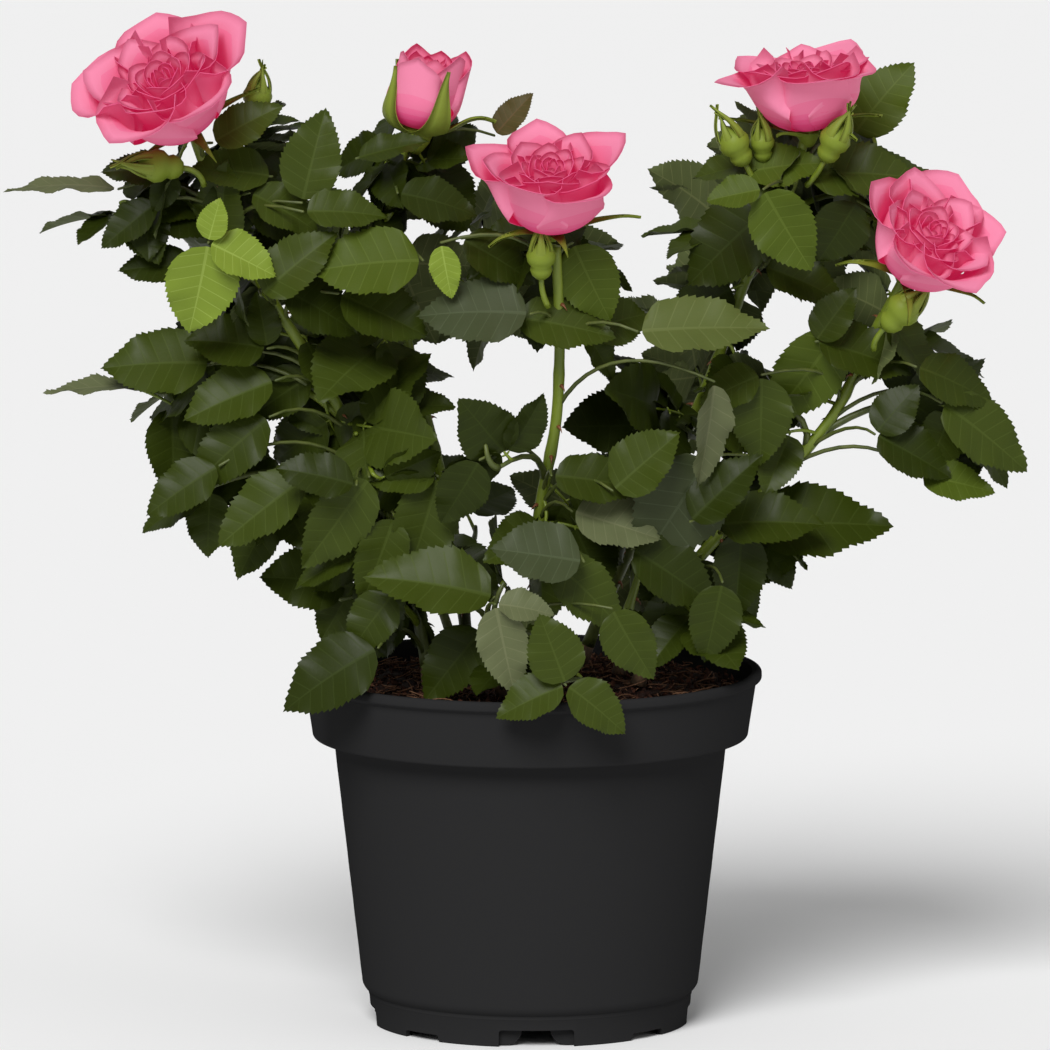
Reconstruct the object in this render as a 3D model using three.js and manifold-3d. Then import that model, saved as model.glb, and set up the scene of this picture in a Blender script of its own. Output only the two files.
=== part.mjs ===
// Potted miniature rose bush: a plastic nursery pot with its root ball, the canes that grow
// from it, the masses of foliage that the canes carry, and five large blooms.
// Millimetres, +Z up. The origin is the centre of the pot's underside, and -Y is the front.

import * as THREE from "three";
import { mergeVertices } from "three/addons/utils/BufferGeometryUtils.js";
import Module from "manifold-3d";

const wasm = await Module();
wasm.setup();

// ---------------------------------------------------------------- driving dimensions

const GAP = 0.3; // air left between pieces that touch
const ROUND = 32; // segments round the pot

const POT = {
  height: 100,
  lipRadius: 65,
  lipHeight: 3,
  bandTopRadius: 63.5,
  bandFootRadius: 61.2,
  bandFoot: 81, // height of the band's lower edge
  bodyTopRadius: 55.3,
  bodyFootRadius: 47.4,
  bodyFoot: 12,
  footHeight: 7.8,
  footTopRadius: 45.4,
  footRadius: 44.8,
  wall: 1.4,
  floorUnder: 4.8, // height of the floor's underside over the ground
  floorTop: 6.4,
  padRadius: 12, // the round pad under the middle of the floor, which meets the ground
};

const NOTCH = {
  turn: 2.2, // degrees from the front to the first notch
  wide: { width: 21, height: 4.8 },
  narrow: { width: 12.5, height: 2 },
};

const SOIL = { top: 95, dome: 1.2 };

const CANE_SIDES = 7;
const CANE_STEP = 24; // length of one straight step of a cane
const CUT_SIDES = 5;
const NECK = 10; // the straight length of flower stalk under a bloom

const MASS_DETAIL = 2;
const BUMPS = 9; // swellings on each mass
const BUMP_HEIGHT = 0.3; // of the mass's own reach
const LOWEST_FOLIAGE = 102.2; // the masses clear the pot's lip

const GROUND_Z = SOIL.top + SOIL.dome + GAP;

// Canes: base on the soil, the points that each runs through, and its top. radius is at
// the base and at the top. A cane with a bloom runs on through the foliage to the bloom's
// base, and the others end where they enter a mass.
const CANES = {
  cane_left: {
    base: [-28, -16], through: [[-35, -13, 135], [-56, -10, 180], [-82, -16, 222]],
    bloom: "bloom_left", radius: [1.7, 1.3],
  },
  cane_left_bud: {
    base: [-17, 14], through: [[-22, 10, 140], [-34, 0, 190], [-40, -6, 232]],
    bloom: "bloom_half_open", radius: [1.6, 1.1],
  },
  cane_centre: {
    base: [3, -4], through: [[1, -12, 130], [3, -18, 152], [8, -24, 176], [8, -30, 205]],
    bloom: "bloom_centre", radius: [1.8, 1.4],
  },
  cane_right: {
    base: [14, 30], through: [[30, 24, 135], [50, 12, 178], [62, 2, 215]],
    bloom: "bloom_right", radius: [1.7, 1.3],
  },
  cane_far_right: {
    base: [30, -10], through: [[40, -8, 125], [72, -8, 157], [88, -8, 176], [96, -10, 198]],
    bloom: "bloom_far_right", radius: [1.7, 1.3],
  },
  cane_front: {
    base: [-8, -26], through: [[-12, -32, 112]], top: [-18, -38, 132],
    radius: [1.4, 1.1],
  },
  cane_back_left: {
    base: [-20, 34], through: [[-30, 42, 125]], top: [-44, 52, 170],
    radius: [1.6, 1.1],
  },
  cane_back_right: {
    base: [24, 40], through: [[32, 46, 125]], top: [44, 54, 170],
    radius: [1.6, 1.1],
  },
};
const STUB = { at: [25, 12], height: 7, radius: 1.8 }; // a dead cane, cut short

// Blooms: base (top of the flower stalk), the way the bloom faces, its radius and its depth.
const BLOOMS = {
  bloom_left: { base: [-94, -16, 252], facing: [-0.32, -0.6, 0.73], radius: 25.5, depth: 35 },
  bloom_half_open: { base: [-34, -9, 251], facing: [0.16, -0.1, 1], radius: 13, depth: 28 },
  bloom_centre: { base: [7, -36, 223], facing: [-0.02, -0.42, 0.9], radius: 22.4, depth: 29 },
  bloom_right: { base: [76, -14, 250.5], facing: [-0.08, -0.12, 1], radius: 22.8, depth: 28 },
  bloom_far_right: { base: [104, -21, 212], facing: [0.4, -0.6, 0.7], radius: 20.6, depth: 31 },
};
const BLOOM_SIDES = 16;
// Each row is a height and a radius, as shares of the bloom's depth and radius.
const BLOOM_PROFILE = [
  [0, 0], [0, 0.14], [0.14, 0.26], [0.2, 0.66], [0.42, 0.94],
  [0.7, 1], [0.84, 0.84], [1, 0.4], [0.96, 0],
];
const BUD_PROFILE = [
  [0, 0], [0, 0.2], [0.2, 0.36], [0.34, 0.76], [0.58, 0.92],
  [0.85, 1], [1, 0.62], [0.97, 0],
];
const RUFFLE = 0.09; // how far the petals' edges swing in and out
const BLOOM_ROOM = 1.06; // the hollow that a bloom keeps in the foliage, over its own size
const MASS_ROOM = 1.03; // the same, where a cane stops short of its mass

// Foliage: centre, half-size, and the furthest leaf tips that each mass reaches.
const FOLIAGE = {
  foliage_left_top: {
    centre: [-84, -6, 225], half: [32, 35, 36],
    tips: [[-146, -8, 238.5], [-72, -8, 274], [-137, 2, 227], [-107, -20, 199]],
  },
  foliage_left_back_top: {
    centre: [-70, 42, 214], half: [30, 30, 30], tips: [[-66, 74, 222], [-98, 56, 228]],
  },
  foliage_left_inner_top: {
    centre: [-41, 2, 222], half: [27, 32, 33], tips: [[-58, 4, 262], [-20, -24, 233]],
  },
  foliage_left_mid: {
    centre: [-86, 2, 176], half: [27, 33, 23], tips: [[-134, -4, 180], [-112, 26, 182]],
  },
  foliage_left_low: {
    centre: [-85, -8, 148], half: [21, 25, 20], tips: [[-101, -14, 134], [-104, 0, 159]],
  },
  foliage_centre_left: {
    centre: [-44, -18, 166], half: [27, 33, 30], tips: [[-30, -44, 142]],
  },
  foliage_low_left: {
    centre: [-45, -18, 120], half: [29, 35, 21], tips: [[-71, -16, 128], [-66, -42, 104]],
  },
  foliage_upper_centre: {
    centre: [7, -4, 209], half: [28, 29, 20], tips: [[-4, 8, 256], [-24, -18, 246]],
  },
  foliage_centre_mid: {
    centre: [-8, -34, 160], half: [14, 16, 18], tips: [[-18, -50, 180]],
  },
  foliage_centre_right: {
    centre: [36, -16, 157], half: [28, 35, 28], tips: [[52, -42, 150], [33, -20, 190]],
  },
  foliage_low_centre: {
    centre: [-8, -30, 126], half: [23, 26, 20], tips: [[12, -52, 136]],
  },
  foliage_front_low: {
    centre: [6, -56, 114], half: [25, 16, 13], tips: [[-1.5, -76, 97], [21, -76, 100]],
  },
  foliage_low_right: {
    centre: [41, -26, 118], half: [14, 18, 16], tips: [[36, -40, 103]],
  },
  foliage_right_top: {
    centre: [55, 2, 224], half: [26, 32, 30], tips: [[45, 4, 256], [30, -8, 236]],
  },
  foliage_right_crown: {
    centre: [86, 8, 226], half: [21, 28, 28],
    tips: [[106, 18, 270], [111, 10, 243], [100, 34, 244]],
  },
  foliage_right_mid: {
    centre: [57, 2, 181], half: [27, 33, 22], tips: [[66, -34, 176]],
  },
  foliage_right_outer: {
    centre: [99, 8, 190], half: [26, 30, 15], tips: [[125, 0, 197], [116, 36, 194]],
  },
  foliage_far_right: {
    centre: [118, -4, 170], half: [22, 25, 16],
    tips: [[142.5, -8, 159], [132.5, -12, 147], [141, 0, 174], [124, 30, 168]],
  },
  foliage_right_low: {
    centre: [66, -2, 139], half: [22, 26, 12], tips: [[99, -8, 144.5], [76, 6, 128.5]],
  },
  foliage_back_left: {
    centre: [-52, 62, 176], half: [35, 28, 35], tips: [[-58, 98, 178], [-88, 76, 168]],
  },
  foliage_back_top: {
    centre: [-4, 52, 206], half: [32, 30, 26], tips: [[-2, 86, 212], [10, 62, 230]],
  },
  foliage_back_right: {
    centre: [52, 62, 176], half: [35, 28, 35], tips: [[56, 98, 176], [88, 74, 180]],
  },
  foliage_right_back_top: {
    centre: [52, 48, 216], half: [28, 26, 26], tips: [[60, 76, 226]],
  },
  foliage_back_low: {
    centre: [0, 60, 128], half: [40, 26, 23], tips: [[-6, 88, 112], [-42, 70, 122], [42, 68, 120]],
  },
};

const COLOURS = {
  pot: { color: "#17181a", roughness: 0.5, metalness: 0 },
  soil: { color: "#3a211a", roughness: 1, metalness: 0 },
  cane: { color: "#5f8c2c", roughness: 0.6, metalness: 0 },
  stub: { color: "#6d5138", roughness: 0.9, metalness: 0 },
  leaf: { color: "#234a1c", roughness: 0.5, metalness: 0 },
  petal: { color: "#e2507f", roughness: 0.6, metalness: 0 },
};

// ---------------------------------------------------------------- geometry helpers

const vec = (p) => new THREE.Vector3(...p);

// Only the positions are kept, with the shared vertices merged.
function bare(geometry) {
  const plain = new THREE.BufferGeometry();
  plain.setAttribute("position", geometry.getAttribute("position"));
  if (geometry.index) plain.setIndex(geometry.index);
  return mergeVertices(plain, 1e-4);
}

function toSolid(geometry) {
  const shape = bare(geometry);
  return new wasm.Manifold(
    new wasm.Mesh({
      numProp: 3,
      vertProperties: shape.attributes.position.array,
      triVerts: new Uint32Array(shape.index.array),
    }),
  );
}

function toGeometry(solid) {
  const { vertProperties, triVerts } = solid.getMesh();
  const geometry = new THREE.BufferGeometry();
  geometry.setAttribute("position", new THREE.BufferAttribute(vertProperties, 3));
  geometry.setIndex(new THREE.BufferAttribute(triVerts, 1));
  geometry.computeVertexNormals();
  return geometry;
}

// The largest body of a solid that a cut may have parted.
const largest = (solid) =>
  solid.decompose().reduce((a, b) => (a.volume() >= b.volume() ? a : b));

// A solid scaled up about a point, to cut room for itself out of a neighbour.
const grown = (solid, middle, factor) =>
  solid.translate(middle.map((c) => -c)).scale(factor).translate(middle);

// A turned solid about Z from rows of [radius, height] that run from the axis to the axis.
function turned(rows, sides) {
  const profile = rows.map(([r, z]) => new THREE.Vector2(r, z));
  return new THREE.LatheGeometry(profile, sides).rotateX(Math.PI / 2);
}

// A repeatable stream of numbers from 0 to 1.
function stream(seed) {
  let state = seed >>> 0;
  return () => {
    state = (Math.imul(state, 1664525) + 1013904223) >>> 0;
    return state / 4294967296;
  };
}

// ---------------------------------------------------------------- pot and root ball

// One notch's outline, upright, with round upper corners. It is pushed out through the wall.
function notchCutter({ width, height }) {
  const corner = Math.min(1.4, height * 0.6);
  const outline = new THREE.Shape();
  outline.moveTo(-width / 2, -1);
  outline.lineTo(width / 2, -1);
  outline.lineTo(width / 2, height - corner);
  outline.absarc(width / 2 - corner, height - corner, corner, 0, Math.PI / 2);
  outline.absarc(-width / 2 + corner, height - corner, corner, Math.PI / 2, Math.PI);
  const reach = POT.footTopRadius + 6;
  return new THREE.ExtrudeGeometry(outline, {
    depth: 14, bevelEnabled: false, curveSegments: 3,
  })
    .rotateX(Math.PI / 2)
    .translate(0, -reach + 14, 0);
}

function potSolid() {
  const p = POT;
  const inner = (radius) => radius - p.wall;
  const rows = [
    [0, 0],
    [p.padRadius, 0],
    [p.padRadius + 1, p.floorUnder],
    [inner(p.footRadius) - 1, p.floorUnder],
    [inner(p.footRadius), 0],
    [p.footRadius, 0],
    [p.footTopRadius, p.footHeight],
    [p.bodyFootRadius - 0.8, p.footHeight + 1.4],
    [p.bodyFootRadius, p.bodyFoot],
    [p.bodyTopRadius, p.bandFoot],
    [p.bandFootRadius - 0.8, p.bandFoot],
    [p.bandFootRadius, p.bandFoot + 0.8],
    [p.bandTopRadius, p.height - p.lipHeight],
    [p.lipRadius, p.height - p.lipHeight + 0.3],
    [p.lipRadius, p.height - 0.7],
    [p.lipRadius - 0.7, p.height],
    [inner(p.bandTopRadius), p.height],
    [inner(p.bandFootRadius), p.bandFoot + p.wall + 0.6],
    [inner(p.bodyTopRadius), p.bandFoot + p.wall],
    [inner(p.bodyFootRadius), p.bodyFoot],
    [inner(p.footTopRadius), p.floorTop],
    [0, p.floorTop],
  ];
  let pot = toSolid(turned(rows, ROUND));
  for (let i = 0; i < 8; i++) {
    const cutter = notchCutter(i % 2 ? NOTCH.narrow : NOTCH.wide);
    cutter.rotateZ(THREE.MathUtils.degToRad(NOTCH.turn + i * 45));
    pot = pot.subtract(toSolid(cutter));
  }
  return pot;
}

// The root ball fills the pot, a gap inside its wall, with a low dome on top.
function soilSolid() {
  const p = POT;
  const inside = p.wall + GAP + 0.15;
  const edge = p.bandFootRadius - inside + 0.6;
  const rows = [
    [0, p.floorTop + GAP],
    [p.footTopRadius - inside - 0.6, p.floorTop + GAP],
    [p.bodyFootRadius - inside, p.bodyFoot],
    [p.bodyTopRadius - inside, p.bandFoot],
    [p.bodyTopRadius - inside, p.bandFoot + p.wall + 1.4],
    [edge, p.bandFoot + p.wall + 2],
    [edge, SOIL.top - 0.6],
    [edge * 0.72, SOIL.top + SOIL.dome * 0.6],
    [0, SOIL.top + SOIL.dome],
  ];
  return toSolid(turned(rows, ROUND));
}

// ---------------------------------------------------------------- canes

// A flowering cane comes up under its bloom along the way that the bloom faces.
function caneCurve(cane) {
  const under = (below) =>
    vec(BLOOMS[cane.bloom].base).addScaledVector(facing(cane.bloom), -below);
  const end = cane.bloom ? [under(NECK), under(GAP)] : [vec(cane.top)];
  const points = [vec([...cane.base, GROUND_Z]), ...cane.through.map(vec), ...end];
  return new THREE.CatmullRomCurve3(points, false, "centripetal");
}

// A cylinder bent along a curve, with a level foot and a taper. Extra widens it all round,
// and overrun pushes its two ends on, so that the wider copy cuts clean through.
function limb(curve, [footRadius, topRadius], sides, extra = 0, overrun = 0) {
  const steps = Math.max(2, Math.round(curve.getLength() / CANE_STEP));
  const swell = extra ? 1 / Math.cos(Math.PI / sides) : 1;
  const shape = bare(
    new THREE.CylinderGeometry(
      (topRadius + extra) * swell, (footRadius + extra) * swell, 1, sides, steps,
    ),
  );
  const at = shape.attributes.position;
  for (let i = 0; i < at.count; i++) {
    const t = THREE.MathUtils.clamp(at.getY(i) + 0.5, 0, 1);
    const along = t === 0 ? new THREE.Vector3(0, 0, 1) : curve.getTangentAt(t);
    const side = new THREE.Vector3(0, 1, 0).cross(along).normalize();
    const front = along.clone().cross(side);
    const end = t === 0 ? -overrun : t === 1 ? overrun : 0;
    const p = curve.getPointAt(t)
      .addScaledVector(side, at.getX(i))
      .addScaledVector(front, -at.getZ(i))
      .addScaledVector(along, end);
    at.setXYZ(i, p.x, p.y, p.z);
  }
  return toSolid(shape);
}

// ---------------------------------------------------------------- blooms

const facing = (name) => vec(BLOOMS[name].facing).normalize();

// A cup of petals on its calyx: a turned profile whose widest rows are ruffled.
function bloomSolid(name, seed) {
  const { base, radius, depth } = BLOOMS[name];
  const profile = name === "bloom_half_open" ? BUD_PROFILE : BLOOM_PROFILE;
  const shape = bare(turned(profile.map(([h, r]) => [r * radius, h * depth]), BLOOM_SIDES));
  const random = stream(seed);
  const phases = [5, 8].map((waves) => ({ waves, phase: random() * Math.PI * 2 }));
  const at = shape.attributes.position;
  for (let i = 0; i < at.count; i++) {
    const angle = Math.atan2(at.getY(i), at.getX(i));
    const share = THREE.MathUtils.smoothstep(at.getZ(i) / depth, 0.3, 0.7);
    const swing = phases.reduce((sum, w) => sum + Math.sin(w.waves * angle + w.phase), 0);
    const scale = 1 + RUFFLE * share * (swing / phases.length - 0.3);
    at.setXY(i, at.getX(i) * scale, at.getY(i) * scale);
  }
  const up = new THREE.Vector3(0, 0, 1);
  shape.applyQuaternion(new THREE.Quaternion().setFromUnitVectors(up, facing(name)));
  shape.translate(...base);
  return toSolid(shape);
}

// ---------------------------------------------------------------- foliage

// How far an ellipsoid of this half-size reaches along a direction, as a plane meets it.
const support = (half, n) => Math.hypot(half[0] * n.x, half[1] * n.y, half[2] * n.z);

// The flat faces at which a mass stops, one towards each neighbour. Every plane is a
// normal and its distance from the origin.
function stopsOf(name) {
  const { centre, half } = FOLIAGE[name];
  const here = vec(centre);
  const stops = [];
  for (const [other, mass] of Object.entries(FOLIAGE)) {
    if (other === name) continue;
    const n = vec(mass.centre).sub(here);
    const distance = n.length();
    n.normalize();
    const mine = support(half, n);
    const share = mine / (mine + support(mass.half, n));
    stops.push({ n, d: n.dot(here) + share * distance - GAP });
  }
  return stops;
}

function foliageSolid(name, seed) {
  const { centre, half, tips } = FOLIAGE[name];
  const here = vec(centre);
  const random = stream(seed);
  const shape = bare(new THREE.IcosahedronGeometry(1, MASS_DETAIL));
  const at = shape.attributes.position;
  const bumps = Array.from({ length: BUMPS }, () => ({
    towards: new THREE.Vector3().setFromSphericalCoords(
      1, Math.acos(2 * random() - 1), random() * Math.PI * 2),
    height: BUMP_HEIGHT * (random() * 1.5 - 0.5),
  }));
  const stops = stopsOf(name);
  const directions = Array.from({ length: at.count }, (_, i) =>
    new THREE.Vector3().fromBufferAttribute(at, i).normalize());
  const reaches = directions.map((dir) => {
    const round = 1 / Math.hypot(dir.x / half[0], dir.y / half[1], dir.z / half[2]);
    const swell = bumps.reduce((s, b) => s + b.height * Math.exp(5 * (dir.dot(b.towards) - 1)), 1);
    return round * swell;
  });
  for (const tip of tips) {
    const towards = vec(tip).sub(here);
    const reach = towards.length();
    towards.normalize();
    const nearest = directions.reduce((best, dir, i) =>
      dir.dot(towards) > directions[best].dot(towards) ? i : best, 0);
    directions[nearest] = towards;
    reaches[nearest] = reach;
  }
  directions.forEach((dir, i) => {
    let reach = reaches[i];
    for (const { n, d } of stops) {
      const rate = n.dot(dir);
      if (rate > 1e-6) reach = Math.min(reach, (d - n.dot(here)) / rate);
    }
    const p = here.clone().addScaledVector(dir, Math.max(reach, 1));
    const overPot = Math.hypot(p.x, p.y) < POT.lipRadius + 6;
    at.setXYZ(i, p.x, p.y, overPot ? Math.max(p.z, LOWEST_FOLIAGE) : p.z);
  });
  return toSolid(shape);
}

// ---------------------------------------------------------------- assembly

const bush = new THREE.Group();

function place(name, solid, look) {
  const mesh = new THREE.Mesh(toGeometry(solid), new THREE.MeshStandardMaterial(look));
  mesh.name = name;
  bush.add(mesh);
}

place("pot", potSolid(), COLOURS.pot);
place("soil", soilSolid(), COLOURS.soil);

const stubBase = new THREE.LineCurve3(
  vec([...STUB.at, GROUND_Z]), vec([...STUB.at, GROUND_Z + STUB.height]));
place("cane_stub", limb(stubBase, [STUB.radius, STUB.radius * 0.9], CANE_SIDES), COLOURS.stub);

const masses = Object.keys(FOLIAGE).map((name, i) => ({ name, solid: foliageSolid(name, 101 + i) }));

Object.keys(BLOOMS).forEach((name, i) => {
  const solid = bloomSolid(name, 11 + i);
  const middle = vec(BLOOMS[name].base).addScaledVector(facing(name), BLOOMS[name].depth / 2);
  const room = grown(solid, middle.toArray(), BLOOM_ROOM);
  for (const mass of masses) mass.solid = largest(mass.solid.subtract(room));
  place(name, solid, COLOURS.petal);
});

for (const [name, cane] of Object.entries(CANES)) {
  const curve = caneCurve(cane);
  let solid = limb(curve, cane.radius, CANE_SIDES);
  if (cane.bloom) {
    const cutter = limb(curve, cane.radius, CUT_SIDES, GAP + 0.2, 1);
    for (const mass of masses) mass.solid = largest(mass.solid.subtract(cutter));
  } else {
    for (const mass of masses) {
      if (solid.intersect(mass.solid).volume() === 0) continue;
      const wider = grown(mass.solid, FOLIAGE[mass.name].centre, MASS_ROOM);
      const rest = solid.subtract(wider).decompose();
      solid = rest.reduce((a, b) => (a.boundingBox().min[2] <= b.boundingBox().min[2] ? a : b));
    }
  }
  place(name, solid, COLOURS.cane);
}
for (const { name, solid } of masses) place(name, solid, COLOURS.leaf);

export default bush;
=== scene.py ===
"""A potted miniature rose bush: the looks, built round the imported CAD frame.

Lengths are in millimetres while a mesh is being made, and Soup.piece turns them into
metres. -Y is the front of the plant.
"""
import math

import bmesh
import bpy
import numpy as np
from mathutils import Matrix, Vector, noise
from mathutils.bvhtree import BVHTree


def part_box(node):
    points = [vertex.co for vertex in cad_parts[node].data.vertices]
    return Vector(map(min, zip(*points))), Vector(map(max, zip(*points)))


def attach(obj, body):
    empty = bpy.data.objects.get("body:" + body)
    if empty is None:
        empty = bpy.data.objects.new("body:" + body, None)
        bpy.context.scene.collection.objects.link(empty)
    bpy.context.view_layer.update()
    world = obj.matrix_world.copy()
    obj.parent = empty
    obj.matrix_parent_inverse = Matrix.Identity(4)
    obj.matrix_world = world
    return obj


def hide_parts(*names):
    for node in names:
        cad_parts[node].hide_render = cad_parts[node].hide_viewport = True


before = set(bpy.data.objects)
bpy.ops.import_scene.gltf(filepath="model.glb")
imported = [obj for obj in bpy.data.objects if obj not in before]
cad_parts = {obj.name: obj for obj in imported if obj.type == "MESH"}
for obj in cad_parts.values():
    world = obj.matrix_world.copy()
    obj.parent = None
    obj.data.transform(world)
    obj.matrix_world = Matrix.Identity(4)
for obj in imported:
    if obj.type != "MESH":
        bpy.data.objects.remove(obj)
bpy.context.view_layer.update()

MM = 0.001
UP = np.array([0.0, 0.0, 1.0])
TAU = 2 * math.pi
GOLDEN_TURN = 2.39996  # radians from one leaf or petal to the next on a spiral


# ------------------------------------------------------------------ driving sizes

VIEW = {"distance": 3000.0, "height": 558.5, "aim": (-1.5, 140.4), "lens": 370.6}

LEAFLET = {
    "veins": 7,  # pairs of side veins
    "vein_width": 0.009,  # share of the leaflet's length
    "first_vein": 0.09,
    "last_vein": 0.83,
    "slant": 0.30,  # how far a side vein runs forward on its way to the edge
    "tooth": 0.018,
    "thickness": 0.22,
}
CANE = {"sides": 12, "step": 3.0, "prickle_every": 11.0}


# ------------------------------------------------------------------ vector helpers

def unit(v):
    v = np.asarray(v, float)
    return v / max(np.linalg.norm(v), 1e-9)


def square_to(direction, wanted):
    """The unit vector nearest to wanted that is square to direction."""
    side = np.asarray(wanted, float) - np.dot(wanted, direction) * direction
    if np.linalg.norm(side) < 1e-3:
        side = np.cross(direction, [0.31, 0.95, 0.11])
    return unit(side)


def bezier(a, b, c, steps):
    """Points on a quadratic curve from a to c, drawn towards b."""
    t = np.linspace(0, 1, steps + 1)[:, None]
    return (1 - t) ** 2 * a + 2 * t * (1 - t) * b + t ** 2 * c


def smooth(x, low, high):
    t = np.clip((x - low) / (high - low), 0, 1)
    return t * t * (3 - 2 * t)


# ------------------------------------------------------------------ mesh collector

def in_scene(name, data):
    made = bpy.data.objects.new(name, data)
    bpy.context.scene.collection.objects.link(made)
    return made


def declared(obj, slot, *replaced):
    """Tells the frame which body a piece rides, and the nodes that it replaces; slot is not used."""
    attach(obj, "root")
    if replaced:
        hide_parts(*replaced)


class Soup:
    """Collects vertices and faces in millimetres, and makes one joined piece of them."""

    def __init__(self):
        self.verts, self.faces, self.looks, self.layers = [], [], [], []
        self.count = 0

    def add(self, verts, faces, looks, layers=None):
        """faces is a list of arrays of vertex numbers, with the material and layer of each."""
        self.verts.append(np.asarray(verts, float))
        for block, look, layer in zip(faces, looks, layers or [0] * len(faces)):
            if len(block):
                self.faces.append(np.asarray(block, int) + self.count)
                self.looks.append(np.full(len(block), look, int))
                self.layers.append(np.full(len(block), layer, int))
        self.count += len(self.verts[-1])

    def piece(self, name, materials, slot, *replaced, sharp_between=False):
        verts = np.concatenate(self.verts) * MM
        totals = np.concatenate([np.full(len(f), f.shape[1]) for f in self.faces])
        loops = np.concatenate([f.ravel() for f in self.faces])
        looks = np.concatenate(self.looks)
        mesh = bpy.data.meshes.new(name)
        mesh.vertices.add(len(verts))
        mesh.vertices.foreach_set("co", verts.ravel())
        mesh.loops.add(len(loops))
        mesh.loops.foreach_set("vertex_index", loops)
        mesh.polygons.add(len(totals))
        starts = np.concatenate([[0], np.cumsum(totals)[:-1]])
        mesh.polygons.foreach_set("loop_start", starts)
        mesh.polygons.foreach_set("loop_total", totals)
        mesh.polygons.foreach_set("material_index", looks)
        mesh.polygons.foreach_set("use_smooth", np.full(len(totals), True))
        for surface in materials:
            mesh.materials.append(surface)
        mesh.update(calc_edges=True)
        if sharp_between:
            self._sharpen(mesh, totals)
        mesh.validate()
        declared(in_scene(name, mesh), slot, *replaced)

    def _sharpen(self, mesh, totals):
        """Keeps the edge between two layers, such as a leaf's top and underside, crisp."""
        edge_of = np.empty(len(mesh.loops), int)
        mesh.loops.foreach_get("edge_index", edge_of)
        layer = np.repeat(np.concatenate(self.layers), totals)
        low = np.full(len(mesh.edges), 9)
        high = np.full(len(mesh.edges), -1)
        np.minimum.at(low, edge_of, layer)
        np.maximum.at(high, edge_of, layer)
        attribute = mesh.attributes.new("sharp_edge", "BOOLEAN", "EDGE")
        attribute.data.foreach_set("value", low != high)


def ring_walls(rings, sides):
    """Faces that join each ring of vertices to the next one."""
    here = np.arange(sides)
    ahead = (here + 1) % sides
    return np.concatenate(
        [np.stack([i * sides + here, i * sides + ahead, (i + 1) * sides + ahead,
                   (i + 1) * sides + here], 1) for i in range(rings - 1)])


def tube(soup, points, radii, look=0, sides=6, tip=True):
    """A round limb along points, closed at both ends."""
    points = np.asarray(points, float)
    radii = np.broadcast_to(radii, len(points)).astype(float)
    tangents = np.gradient(points, axis=0)
    tangents /= np.maximum(np.linalg.norm(tangents, axis=1), 1e-9)[:, None]
    side = square_to(tangents[0], [0.23, -0.9, 0.36])
    angle = np.arange(sides) * TAU / sides
    rings = []
    for p, t, r in zip(points, tangents, radii):
        side = square_to(t, side)
        other = np.cross(t, side)
        rings.append(p + r * (np.cos(angle)[:, None] * side + np.sin(angle)[:, None] * other))
    verts = np.concatenate(rings + [points[:1], points[-1:] + tangents[-1:] * radii[-1] * tip])
    n, here = len(points), np.arange(sides)
    ahead, last = (here + 1) % sides, (n - 1) * sides
    foot = np.stack([np.full(sides, n * sides), ahead, here], 1)
    top = np.stack([np.full(sides, n * sides + 1), last + here, last + ahead], 1)
    soup.add(verts, [ring_walls(n, sides), np.concatenate([foot, top])], [look, look])


# ------------------------------------------------------------------ materials

def node(tree, kind, **inputs):
    """A shader node with its inputs set by name, with _ for each space."""
    made = tree.nodes.new(f"ShaderNode{kind}")
    for key, value in inputs.items():
        made.inputs[key.replace("_", " ")].default_value = value
    return made


def noise_node(tree, place, scale, detail, roughness=0.5):
    grain = node(tree, "TexNoise", Scale=scale, Detail=detail, Roughness=roughness)
    tree.links.new(place, grain.inputs["Vector"])
    return grain.outputs["Fac"]


def add_relief(tree, height, strength, depth):
    """Raises the surface by height, a node's output, as far as depth in millimetres."""
    relief = node(tree, "Bump", Strength=strength, Distance=depth * MM)
    tree.links.new(height, relief.inputs["Height"])
    tree.links.new(relief.outputs["Normal"], tree.nodes["Principled BSDF"].inputs["Normal"])


def object_place(tree):
    return node(tree, "TexCoord").outputs["Object"]


def stretched_place(tree, scale):
    mapping = node(tree, "Mapping", Scale=scale)
    tree.links.new(object_place(tree), mapping.inputs["Vector"])
    return mapping.outputs["Vector"]


def material(name, colour, roughness, specular=0.5, painted_glow=None, bump=None):
    """A plain-coloured surface whose fine relief comes from noise: bump is (scale, depth).

    The glow colour given is a faint constant glow: painted light that stands in for the light a thin
    petal passes on from behind.
    """
    made = bpy.data.materials.new(name)
    made.use_nodes = True
    tree = made.node_tree
    shader = tree.nodes["Principled BSDF"]
    shader.inputs["Base Color"].default_value = (*colour, 1)
    shader.inputs["Roughness"].default_value = roughness
    shader.inputs["Specular IOR Level"].default_value = specular
    # A constant emission: the surface glows with painted light.
    if painted_glow:
        shader.inputs["Emission Color"].default_value = (*painted_glow, 1)
        shader.inputs["Emission Strength"].default_value = 1.0
    if bump:
        scale, depth = bump
        add_relief(tree, noise_node(tree, object_place(tree), scale, 3), 0.5, depth)
    return made


def mottled(name, dark, light, roughness, scale, bump, stretch=(1, 1, 1), specular=0.5):
    """A surface whose colour drifts between two tones, with matching relief."""
    made = material(name, dark, roughness, specular=specular)
    tree = made.node_tree
    patches = noise_node(tree, stretched_place(tree, stretch), scale, 6, 0.6)
    ramp = node(tree, "ValToRGB")
    for stop, position, colour in zip(ramp.color_ramp.elements, (0.35, 0.68), (dark, light)):
        stop.position = position
        stop.color = (*colour, 1)
    tree.links.new(patches, ramp.inputs["Fac"])
    tree.links.new(ramp.outputs["Color"], tree.nodes["Principled BSDF"].inputs["Base Color"])
    add_relief(tree, patches, 0.6, bump)
    return made
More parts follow.
